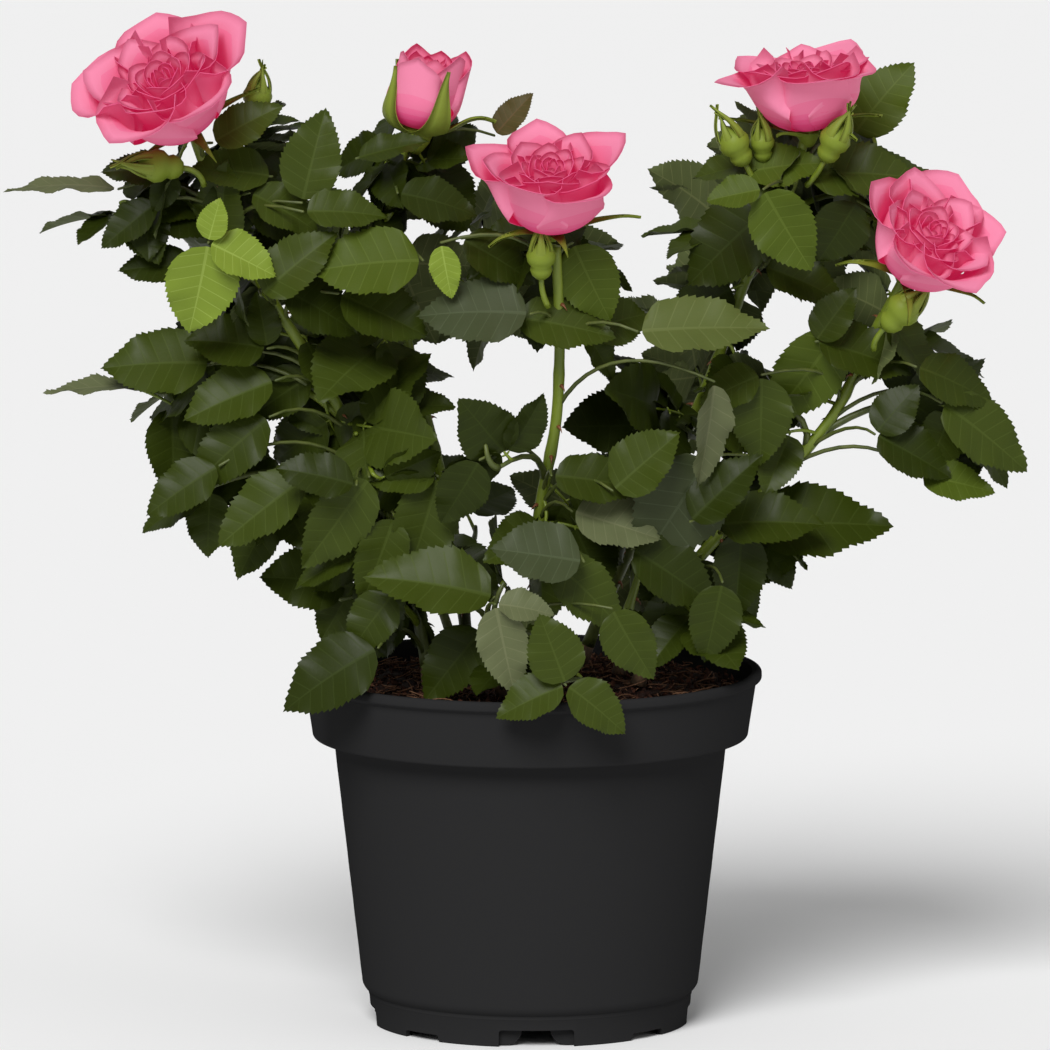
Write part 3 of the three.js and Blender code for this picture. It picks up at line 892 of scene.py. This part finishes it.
def add_petal(soup, place, turn, shape, rng, tones):
    """One petal: it leaves the axis outwards, turns up into a cup and flares at its rim.

    shape has the petal's length, its half-width round the axis in radians, the share of its
    length that is bowl, and the lean of its wall and the flare of its rim in radians.
    """
    rows, across = SHEET_ROWS, PETAL_ACROSS
    s, t = sheet_grid(rows, across)
    length = shape["length"]
    rim_roll = smooth(s, 0.66, 1.0) ** 1.3
    shoulders = 0.70 * shape["crisp"] * np.abs(t) ** 2 * rim_roll
    slope = (1.50 * (1 - smooth(s, 0.0, shape["bowl"])) + shape["lean"] * smooth(s, 0.1, 0.7)
             + (shape["flare"] + shoulders) * rim_roll)
    reach, rise = rolled_out((slope[1:] + slope[:-1]) / 2, length / rows)
    wave = rng.uniform(0, TAU, 3)
    edge = smooth(s, 0.55, 1.0)
    ruffle = 0.022 * np.sin(3.0 * t + wave[0]) + 0.014 * np.sin(7.3 * t + wave[1])
    ruffle *= edge * length * (0.4 + 0.6 * shape["crisp"])
    point = 0.065 * shape["crisp"] * edge * np.exp(-(t / 0.16) ** 2)
    sink = length * (0.36 * np.abs(t) ** 2.4 * smooth(s, 0.30, 1.0) - point)
    r = 0.3 + reach + ruffle - sink * np.sin(slope)
    z = rise - sink * np.cos(slope) + ruffle * 0.3
    # One edge lies inside the next petal and the other outside the last one.
    r = r * (1 + 0.07 * t * smooth(s, 0.1, 0.6))
    angle = turn + shape["width"] * t * (0.55 + 0.45 * smooth(s, 0.0, 0.5))
    inner = np.stack([r * np.cos(angle), r * np.sin(angle), z], -1)
    normal = np.cross(np.gradient(inner, axis=0), np.gradient(inner, axis=1)).reshape(-1, 3)
    normal /= np.maximum(np.linalg.norm(normal, axis=1), 1e-9)[:, None]
    inner = inner.reshape(-1, 3)
    outer = inner - normal * PETAL_THICKNESS
    n = len(inner)
    faces, border = sheet_faces(rows, across)
    row = np.repeat(np.arange(rows), across)
    ahead = np.roll(border, -1)
    rim = np.stack([border, border + n, ahead + n, ahead], -1)
    inside, outside = turned_over(faces), faces + n
    # The tone deepens from the rim to the foot, in steps that follow the rows: painted shade down
    # into the cup.
    first, last = tones
    share = 1 - (row + 0.5) / rows
    step = np.clip(np.round(first + (last - first) * smooth(share, 0.0, 0.8)), 0, 6).astype(int)
    outer_step = np.clip(step - 1 + (share > 0.6), 0, 6)
    blocks, looks = [rim], [first + 2]
    for tone in range(len(PETAL_TONES)):
        blocks += [inside[step == tone], outside[outer_step == tone]]
        looks += [tone, tone]
    soup.add(moved(np.concatenate([inner, outer]), place), blocks, looks)


def bloom_place(name, raised=1.0):
    """The matrix that stands a bloom on its cane, with its axis along the way it faces."""
    facts = BLOOMS[name]
    axis = unit(facts["facing"])
    shift_x, shift_z = facts["shift"]
    top = cane_lines[facts["cane"]][-1]
    return stood_at(top + axis * raised + np.array([shift_x, 0.0, shift_z]), axis)


def add_open_bloom(soup, name, seed, turn=0.0):
    """A full rose: a tight heart, a spiral of nested cups and a skirt of flared petals."""
    rng = np.random.default_rng(seed)
    radius, open_by = BLOOMS[name]["radius"], BLOOMS[name]["open"]
    lifted = bloom_place(name, 3.0)
    petals = 31
    angle = turn
    for i in range(petals):
        share = i / (petals - 1)
        outer = smooth(share, 0.55, 1.0)
        shape = {
            "length": radius * (0.86 + 0.23 * share + 0.24 * outer) * rng.uniform(0.97, 1.03),
            "width": 1.70 - 0.78 * share ** 0.7 + rng.normal(0, 0.04),
            "bowl": 0.18 + 0.50 * share ** 0.9,
            "lean": -0.14 + 0.16 * share + 0.34 * outer * open_by + rng.normal(0, 0.05) * share,
            "flare": 0.06 + 0.88 * share ** 1.2 * open_by + rng.normal(0, 0.08) * share,
            "crisp": 0.12 + 0.88 * smooth(share, 0.35, 0.85),
        }
        # Inner petals take deeper tones: painted shade in the heart.
        tones = int(share < 0.3), 4 + int(share < 0.6)
        add_petal(soup, lifted, angle, shape, rng, tones)
        angle += GOLDEN_TURN + rng.normal(0, 0.12)


def add_half_open_bud(soup, name, seed):
    """A bud that begins to open: petals wrapped round each other, with no skirt yet."""
    rng = np.random.default_rng(seed)
    radius = BLOOMS[name]["radius"]
    lifted = bloom_place(name, 5.0)
    petals = 15
    angle = 4.4
    for i in range(petals):
        share = i / (petals - 1)
        shape = {
            "length": radius * (1.18 + 0.38 * share) * rng.uniform(0.97, 1.03),
            "width": 1.9 - 0.85 * share,
            "bowl": 0.24 + 0.44 * share,
            "lean": -0.14 + 0.12 * share,
            "flare": -0.22 + 0.24 * share,
            "crisp": 0.35 + 0.65 * share,
        }
        add_petal(soup, lifted, angle, shape, rng, (0, 4))
        angle += GOLDEN_TURN


def add_calyx(soup, place, size, sepals, rng, swell, seat, broad=1.0):
    """The green urn under a bloom, and its sepals: the angle, lean and length of each."""
    heights = np.array([0.0, 0.12, 0.35, 0.62, 0.85, 1.0]) * size * 1.1
    widths = np.array([0.30, 0.50, 0.80, 0.92, 0.86, 0.84]) * size * 0.5
    axis_points = [place[:3, 3] + place[:3, 2] * (h - size * 0.35) for h in heights]
    tube(soup, axis_points, widths, 0, sides=16, tip=False)
    for angle, lean, length in sepals:
        add_sepal(soup, place, angle, size, length, lean, rng, bulge=1.4, broad=broad,
                  swell=swell, seat=seat)


def add_sepal(soup, place, angle, size, length, lean, rng, bulge, broad=1.0, swell=0.35,
              seat=0.66):
    """A narrow green sepal. It leans out by lean, after swelling out by bulge round a bud."""
    s, t = sheet_grid(SHEET_ROWS, SEPAL_ACROSS)
    bend = bulge * (1 - smooth(s, 0.0, swell)) + lean * smooth(s, 0.1, 0.9)
    bend = bend + rng.uniform(0.0, 0.5) * smooth(s, 0.75, 1.0)
    reach, rise = rolled_out(bend[1:], length / SHEET_ROWS)
    reach += size * 0.40
    rise += size * seat
    width = size * broad * (0.34 * (1 - s) ** 1.25 * (0.35 + s) ** 0.25 + 0.018)
    fold = 0.10 * size * (t ** 2)
    x = reach - fold * np.cos(bend)
    top = np.stack([x * math.cos(angle) - width * t * math.sin(angle),
                    x * math.sin(angle) + width * t * math.cos(angle),
                    rise + fold * np.sin(bend)], -1).reshape(-1, 3)
    out = np.array([math.cos(angle), math.sin(angle), 0.2])
    n = len(top)
    back = top + unit(out) * 0.4
    faces, border = sheet_faces(SHEET_ROWS, SEPAL_ACROSS)
    ahead = np.roll(border, -1)
    rim = np.stack([border, ahead, ahead + n, border + n], -1)
    soup.add(moved(np.concatenate([top, back]), place),
             [faces[:, ::-1], faces + n, rim[:, ::-1]], [0, 1, 1])


# Green buds: the depth of each, where its stalk starts, where it sits and where it points, as x
# and z seen from the front, and its radius.
BUDS = [
    (-14, (-79, 247), (-77, 255), (-75, 268), 4.2),
    (-24, (-91, 236), (-97, 241), (-110, 242), 4.8),
    (-40, (5, 202), (3, 210), (3, 221), 4.2),
    (-20, (64, 234), (60, 242), (52, 257), 4.5),
    (-16, (64, 236), (65, 243), (64, 254), 3.6),
    (-22, (77, 236), (82, 243), (87, 253), 4.5),
    (-26, (96, 190), (99, 196), (107, 204), 5.0),
]


def add_bud(calyxes, stems, number, rng):
    """A closed green bud: its urn, and five sepals that wrap it and end in long points."""
    depth, foot, base, tip, radius = BUDS[number]
    start, base, tip = carried(*foot, depth + 4), carried(*base, depth), carried(*tip, depth - 3)
    axis = unit(tip - base)
    tube(stems, bezier(start, base - axis * 5, base, 6), np.linspace(0.9, 0.75, 7),
         STEM_LOOKS["green"], sides=7)
    shares = np.array([0.0, 0.10, 0.24, 0.34, 0.46, 0.62, 0.78, 0.92, 1.0])
    widths = np.array([0.35, 0.62, 0.74, 0.66, 0.92, 1.0, 0.82, 0.44, 0.14]) * radius
    tall = radius * 2.6
    tube(calyxes, [base + axis * tall * k for k in shares], widths, 0, sides=16)
    place = stood_at(base + axis * radius * 0.5, axis)
    for k in range(5):
        wander = rng.uniform(-0.1, 0.25)
        add_sepal(calyxes, place, k * TAU / 5 + number, radius * 1.15,
                  radius * rng.uniform(2.5, 3.6), -0.75 + wander, rng, bulge=0.9, broad=1.3)


# ------------------------------------------------------------------ canes

def add_cane(soup, line, foot_radius, top_radius, rng, brown_share=0.05):
    """A cane with its taper, the rings where leaves stood, and prickles."""
    steps = np.linalg.norm(np.diff(line, axis=0), axis=1)
    run = np.concatenate([[0], np.cumsum(steps)])
    fine = np.arange(0, run[-1], CANE["step"])
    fine = np.append(fine, run[-1])
    points = np.stack([np.interp(fine, run, line[:, k]) for k in range(3)], 1)
    points = smoothed(points, 2)
    share = fine / run[-1]
    radii = foot_radius + (top_radius - foot_radius) * share
    radii = radii * (1.25 - 0.25 * smooth(share, 0.0, 0.05))
    knot = rng.uniform(14, 20)
    while knot < run[-1] - 12:
        radii = radii + 0.30 * np.exp(-((fine - knot) / 1.6) ** 2)
        knot += rng.uniform(16, 26)
    cut = max(2, int(len(points) * brown_share))
    olive = max(cut + 2, int(len(points) * (brown_share + 0.22)))
    for low, high, look in ((0, cut, "brown"), (cut, olive, "olive"), (olive, None, "green")):
        stretch = slice(low, None if high is None else high + 1)
        if len(points[stretch]) > 1:
            tube(soup, points[stretch], radii[stretch], STEM_LOOKS[look], CANE["sides"], tip=False)
    along = CANE["prickle_every"] * 1.5
    while along < run[-1] - 14:
        i = int(np.searchsorted(fine, along))
        t = unit(points[min(i + 1, len(points) - 1)] - points[i - 1])
        out = square_to(t, rng.normal(0, 1, 3))
        foot = points[i] + out * radii[i] * 0.8
        hook = foot + out * 2.3 - t * 1.2
        tube(soup, bezier(foot, foot + out * 1.5, hook, 3), [0.75, 0.42, 0.2, 0.06],
             STEM_LOOKS["red"], sides=5)
        along += CANE["prickle_every"] * rng.uniform(0.7, 1.6)


# ------------------------------------------------------------------ pot and soil

def lathe_rows(rows, sides):
    """Vertices and faces of a surface turned about Z from (radius, height) rows."""
    angle = np.arange(sides) * TAU / sides
    ring = np.stack([np.cos(angle), np.sin(angle)], 1)
    verts = np.concatenate([np.column_stack([ring * r, np.full(sides, z)]) for r, z in rows])
    return verts, ring_walls(len(rows), sides)


SOIL = {"crumbs": 2300, "fibres": 520}
# Peat colours, each with its two tones, roughness, noise scale and relief.
PEAT = {
    "dark": ((0.010, 0.0045, 0.003), (0.040, 0.016, 0.010), 0.95, 700, 0.5),
    "brown": ((0.022, 0.009, 0.006), (0.070, 0.028, 0.016), 0.95, 900, 0.4),
    "red": ((0.050, 0.017, 0.010), (0.110, 0.042, 0.024), 0.95, 900, 0.4),
    "fibre": ((0.110, 0.050, 0.026), (0.230, 0.120, 0.065), 0.9, 900, 0.2),
}


def make_soil(rng):
    """The peat: a rough dome with crumbs and fibres joined to it."""
    soup = Soup()
    radius, _, top = np.array(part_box("soil")[1]) / MM
    rings, sides = 56, 150
    rows = [(radius - 0.2, top - 8.0)] + [
        (radius * math.sqrt(1 - i / rings), top - 1.4) for i in range(rings)] + [(0.05, top - 1.4)]
    verts, faces = lathe_rows(rows, sides)
    for i in range(sides, len(verts)):
        x, y, z = verts[i]
        rough = noise.fractal(Vector((x * 0.16, y * 0.16, 3.1)), 1.0, 2.2, 5)
        lumps = noise.noise(Vector((x * 0.6, y * 0.6, 9.7)))
        share = min(1, (radius - math.hypot(x, y)) / 3)
        verts[i, 2] = z + share * (0.9 * rough + 0.7 * lumps) - (1 - share) * 0.6
    soup.add(verts, [faces], [0])
    crumb = np.array([[1, 0, 0], [-1, 0, 0], [0, 1, 0], [0, -1, 0], [0, 0, 0.7], [0, 0, -0.7]])
    facets = np.array([[0, 2, 4], [2, 1, 4], [1, 3, 4], [3, 0, 4],
                       [2, 0, 5], [1, 2, 5], [3, 1, 5], [0, 3, 5]])
    for _ in range(SOIL["crumbs"]):
        r = radius * 0.97 * math.sqrt(rng.random())
        a = rng.uniform(0, TAU)
        at = np.array([r * math.cos(a), r * math.sin(a), top - 1.2 + rng.uniform(-0.3, 0.7)])
        size = rng.uniform(0.35, 1.25)
        _, wander = rng.normal(0, 1, (6, 3)), rng.normal(0, 0.28, (6, 3))
        corners = (crumb + wander) * size * np.array([1.3, 0.9, 0.7])
        turn, axis = rng.uniform(0, TAU), Vector(unit(rng.normal(0, 1, 3)))
        spin = np.array(Matrix.Rotation(turn, 3, axis))
        soup.add(corners @ spin.T + at, [facets], [int(rng.integers(0, 3))])
    for _ in range(SOIL["fibres"]):
        r = radius * 0.95 * math.sqrt(rng.random())
        a, heading = rng.uniform(0, TAU), rng.uniform(0, TAU)
        at = np.array([r * math.cos(a), r * math.sin(a), top - 0.5 + rng.uniform(-0.3, 1.0)])
        span = rng.uniform(2.5, 8.0) * np.array(
            [math.cos(heading), math.sin(heading), rng.normal(0, 0.18)])
        if math.hypot(*(at + span)[:2]) > radius * 0.98:
            continue
        bend = at + span / 2 + rng.normal(0, 0.7, 3)
        tube(soup, bezier(at, bend, at + span, 4), 0.17, 3, sides=4)
    materials = [mottled(f"peat_{name}", *look, specular=0.2) for name, look in PEAT.items()]
    soup.piece("soil_surface", materials, "soil", "soil")


POT = {
    "height": 100.0, "lip": 65.0, "band_top": 63.5, "band_foot": 61.2, "band_z": 81.0,
    "body_top": 55.3, "body_foot": 47.4, "body_z": 12.0, "foot_top": 45.4, "foot": 44.8,
    "foot_z": 7.8, "wall": 1.4, "floor_under": 4.8, "floor_top": 6.4, "pad": 12.0,
}
NOTCH = {"turn": 2.2, "wide": (21.0, 4.8), "narrow": (12.5, 2.0), "pad": 6.6}
NOTCHES = 8


def arc_rows(centre, radius, start, end, steps):
    """Profile rows round an arc, with angles in degrees from the outward direction."""
    return [(centre[0] + radius * math.cos(a), centre[1] + radius * math.sin(a))
            for a in np.radians(np.linspace(start, end, steps))]


def pot_profile():
    """The pot's outline from the middle of its underside, up the outside and down the inside."""
    p = POT
    pad, foot, under, band_z, height = (
        p[k] for k in ("pad", "foot", "floor_under", "band_z", "height"))
    inner_foot = foot - p["wall"]
    rows = [(0.01, 0.0), (pad - 0.4, 0.0), (pad, 0.4), (pad + 0.6, under - 0.5), (pad + 1.2, under)]
    rows += [(inner_foot - 1.6, under), (inner_foot - 0.9, under - 0.4), (inner_foot, 0.25),
             (inner_foot + 0.3, 0.0), (foot - 0.3, 0.0), (foot, 0.3)]
    rows += [(p["foot_top"] - 0.05, p["foot_z"] - 0.35), (p["foot_top"] + 0.15, p["foot_z"]),
             (p["foot_top"] + 0.12, p["foot_z"] + 0.15)]
    rows += arc_rows((p["body_foot"] - 3.6, p["body_z"]), 3.6, -62, 0, 7)
    for share in np.linspace(0.06, 0.94, 14):
        radius = p["body_foot"] + (p["body_top"] - p["body_foot"]) * share
        rows.append((radius + 0.03 * math.sin(share * 31),
                     p["body_z"] + (band_z - p["body_z"]) * share))
    rows += [(p["body_top"] - 0.05, band_z - 0.5), (p["body_top"] + 0.35, band_z - 0.05)]
    rows += arc_rows((p["band_foot"] - 0.9, band_z + 0.9), 0.9, -90, -5, 6)
    lip_z = height - 3.0
    for share in np.linspace(0.1, 0.97, 8):
        rows.append((p["band_foot"] + (p["band_top"] - p["band_foot"]) * share,
                     band_z + 1 + (lip_z - band_z - 1) * share))
    rows += arc_rows((p["lip"] - 0.75, lip_z + 0.85), 0.75, -80, 0, 5)
    rows += arc_rows((p["lip"] - 1.2, height - 1.2), 1.2, 10, 120, 8)
    in_band_top, in_band_foot, in_body_top, in_body_foot, in_foot_top = (
        p[k] - p["wall"] for k in ("band_top", "band_foot", "body_top", "body_foot", "foot_top"))
    step_z = band_z + p["wall"]
    rows += [(in_band_top + 0.15, height - 0.5), (in_band_top, height - 1.2)]
    rows += [(in_band_foot, step_z + 1.0), (in_band_foot - 0.9, step_z), (in_body_top + 0.4, step_z),
             (in_body_top, band_z), (in_body_foot, p["body_z"]), (in_foot_top, p["floor_top"]),
             (0.01, p["floor_top"])]
    return rows


def notch_shape(width, height, corner=0.9):
    """A notch's outline, as x and z, with round upper corners."""
    half, high = width / 2 - corner, height - corner
    quarter = np.linspace(0, math.pi / 2, 5)
    arcs = [(half, quarter), (-half, quarter + math.pi / 2)]
    return [(-width / 2, -2.0), (width / 2, -2.0)] + [
        (x + corner * math.cos(a), high + corner * math.sin(a)) for x, turns in arcs for a in turns]


def pad_shape(width, height, side):
    """The outline of one pad behind a notch, on the left or right, with a round lower corner."""
    outer, inner = width / 2 + 1.5, width / 2 - NOTCH["pad"]
    corner = height - 0.3
    return [(side * x, z) for x, z in [(outer, height), (outer, 0.3)] + [
        (inner + corner - corner * math.sin(a), height - 0.05 - corner * math.cos(a))
        for a in np.linspace(0, math.pi / 2, 9)]]


def add_prism(bm, shape, near, far, number):
    """A solid of an outline, from y near to y far, turned to one of the eight notches."""
    spin = Matrix.Rotation(math.radians(NOTCH["turn"] + 360 / NOTCHES * number), 4, "Z")
    a, b = ([bm.verts.new(spin @ (Vector((x, y, z)) * MM)) for x, z in shape]
            for y in (near, far))
    bm.faces.new(a)
    bm.faces.new(b[::-1])
    for i in range(len(a)):
        j = (i + 1) % len(a)
        bm.faces.new((a[j], a[i], b[i], b[j]))


def bare_object(name, bm):
    mesh = bpy.data.meshes.new(name)
    bmesh.ops.recalc_face_normals(bm, faces=bm.faces)
    bm.to_mesh(mesh)
    bm.free()
    return in_scene(name, mesh)


def make_pot():
    """The nursery pot, turned and then notched round its foot."""
    sides = 192
    verts, faces = lathe_rows(pot_profile(), sides)
    bm = bmesh.new()
    made = [bm.verts.new(v * MM) for v in verts]
    for ring in faces:
        bm.faces.new([made[i] for i in ring])
    bmesh.ops.remove_doubles(bm, verts=bm.verts, dist=0.00012)
    pot = bare_object("pot_shell", bm)
    cutter_bm = bmesh.new()
    for i in range(NOTCHES):
        shape = notch_shape(*NOTCH["narrow" if i % 2 else "wide"])
        add_prism(cutter_bm, shape, -POT["foot"] - 4, -POT["foot"] + 3.5, i)
    cutter = bare_object("notch_cutter", cutter_bm)
    cut = pot.modifiers.new("notches", "BOOLEAN")
    cut.operation = "DIFFERENCE"
    cut.solver = "EXACT"
    cut.object = cutter
    graph = bpy.context.evaluated_depsgraph_get()
    final = bpy.data.meshes.new_from_object(pot.evaluated_get(graph))
    pot.modifiers.clear()
    pot.data = final
    bpy.data.objects.remove(cutter)
    for polygon in final.polygons:
        polygon.use_smooth = True
    final.set_sharp_from_angle(angle=math.radians(38))
    final.materials.clear()
    final.materials.append(pot_material())
    declared(pot, "pot", "pot")


def add_notch_pads():
    """Behind each wide notch, two pads with round lower corners stand on the floor's edge."""
    bm = bmesh.new()
    wall = POT["wall"] - POT["foot"]
    for i in range(0, NOTCHES, 2):
        for side in (-1, 1):
            add_prism(bm, pad_shape(*NOTCH["wide"], side), wall + 1.4, wall + 2.8, i)
    pads = bare_object("pot_notch_pads", bm)
    pads.data.materials.append(pot_material())
    declared(pads, "pot")


def pot_material():
    """Moulded black plastic: a satin surface with fine grain and faint turned lines."""
    if "pot_plastic" in bpy.data.materials:
        return bpy.data.materials["pot_plastic"]
    made = material("pot_plastic", (0.0210, 0.0210, 0.0215), 0.5, specular=0.0)
    tree = made.node_tree
    grain = noise_node(tree, object_place(tree), 1500, 2)
    lines = noise_node(tree, stretched_place(tree, (6, 6, 420)), 1.0, 3)
    both = node(tree, "Math")
    both.operation = "MULTIPLY_ADD"
    both.inputs[1].default_value = 0.6
    tree.links.new(lines, both.inputs[0])
    tree.links.new(grain, both.inputs[2])
    add_relief(tree, both.outputs["Value"], 0.25, 0.05)
    gloss = node(tree, "MapRange", To_Min=0.44, To_Max=0.56)
    tree.links.new(noise_node(tree, object_place(tree), 60, 4), gloss.inputs["Value"])
    tree.links.new(gloss.outputs["Result"], tree.nodes["Principled BSDF"].inputs["Roughness"])
    return made


# ------------------------------------------------------------------ assembly

make_pot()
add_notch_pads()
make_soil(np.random.default_rng(5))

stems, calyxes = Soup(), Soup()
cane_rng = np.random.default_rng(17)
canes = Soup()
for name, line in cane_lines.items():
    flowering = any(b["cane"] == name for b in BLOOMS.values())
    add_cane(canes, line, 1.85 if flowering else 1.5, 1.4 if flowering else 1.0, cane_rng)
canes.piece("canes", stem_materials, "cane", *cane_lines)

low, high = (np.array(c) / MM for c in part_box("cane_stub"))
stub = Soup()
middle = (low + high) / 2
stub_line = np.array([[middle[0], middle[1], z] for z in np.linspace(low[2], high[2], 6)])
stub_line[:, 0] += np.linspace(0, 0.5, 6)
tube(stub, stub_line, [2.1, 1.75, 1.7, 1.72, 1.66, 1.6], STEM_LOOKS["brown"], 14, tip=False)
stub.piece("dead_cane_stub", stem_materials, "dead_cane", "cane_stub")


def part_of_crown(mass):
    """The piece that a mass's leaves are joined into."""
    x, y, _ = mass.centre
    if y > 34:
        return "leaves_back"
    if x < -38:
        return "leaves_left"
    return "leaves_middle" if x < 45 else "leaves_right"


limbs = list(cane_lines.values())
front_leaves = Soup()
shown = grow_front_sprays(limbs, front_leaves, stems, np.random.default_rng(303))
front_leaves.piece("leaves_front", leaf_materials, "leaf", sharp_between=True)
for piece_name in ("leaves_left", "leaves_middle", "leaves_right", "leaves_back"):
    leaves = Soup()
    names = [name for name, mass in masses.items() if part_of_crown(mass) == piece_name]
    for name in names:
        rng = np.random.default_rng(500 + sorted(masses).index(name))
        grow_mass(masses[name], limbs, leaves, stems, rng, shown)
    leaves.piece(piece_name, leaf_materials, "leaf", *names, sharp_between=True)

for number, name in enumerate(BLOOMS):
    rng = np.random.default_rng(70 + number)
    place = bloom_place(name)
    soup = Soup()
    if name == "bloom_half_open":
        add_half_open_bud(soup, name, 31)
        add_calyx(calyxes, place, 9.5, [
            (3.5, -0.10, 23), (5.0, -0.05, 25), (5.9, 1.35, 19), (0.9, 0.0, 23), (2.0, 0.3, 22)],
            rng, broad=2.1, swell=0.66, seat=0.26)
    else:
        add_open_bloom(soup, name, 31 + number, turn=number * 1.1)
        add_calyx(calyxes, place, 8.0, [
            (number * 0.5 + k * TAU / 5, rng.uniform(1.25, 1.85), rng.uniform(15, 22))
            for k in range(5)], rng, swell=0.90, seat=0.10)
    soup.piece(name.replace("bloom_", "petals_"), petal_materials, "petal", name)
bud_rng = np.random.default_rng(88)
for number in range(len(BUDS)):
    add_bud(calyxes, stems, number, bud_rng)
stems.piece("twigs", stem_materials, "cane")
calyxes.piece("calyxes", calyx_materials, "cane")


# ------------------------------------------------------------------ floor, light and camera

def make_floor():
    mesh = bpy.data.meshes.new("floor")
    reach = 6.0
    corners = [(-reach, -reach, 0), (reach, -reach, 0), (reach, reach, 0), (-reach, reach, 0)]
    mesh.from_pydata(corners, [], [(0, 1, 2, 3)])
    floor = in_scene("floor", mesh)
    mesh.materials.append(material("floor_pale", (0.93, 0.93, 0.93), 0.9, specular=0.1))


def sun(name, towards, strength, softness):
    """A wide, soft light from one side, equally strong all over the floor."""
    data = bpy.data.lights.new(name, "SUN")
    data.energy = strength
    data.angle = math.radians(softness)
    light = in_scene(name, data)
    light.rotation_euler = Vector(towards).to_track_quat("-Z", "Y").to_euler()


def make_lights():
    world = bpy.data.worlds.new("studio")
    world.use_nodes = True
    world.node_tree.nodes["Background"].inputs["Color"].default_value = (1, 1, 1, 1)
    world.node_tree.nodes["Background"].inputs["Strength"].default_value = 0.30
    bpy.context.scene.world = world
    sun("key", (0.24, 0.84, -0.78), 2.9, 30)
    sun("fill", (-0.8, 0.5, -0.4), 0.3, 60)


def make_camera():
    data = bpy.data.cameras.new("camera")
    data.sensor_width = 36.0
    data.lens = VIEW["lens"]
    data.clip_start, data.clip_end = 0.1, 50
    camera = in_scene("camera", data)
    aim_x, aim_z = VIEW["aim"]
    at = Vector((aim_x, -VIEW["distance"], VIEW["height"])) * MM
    aim = Vector((aim_x, 0, aim_z)) * MM
    camera.location = at
    camera.rotation_euler = (aim - at).to_track_quat("-Z", "Y").to_euler()
    bpy.context.scene.camera = camera


make_floor()
make_lights()
make_camera()
bpy.context.scene.view_settings.view_transform = "Standard"
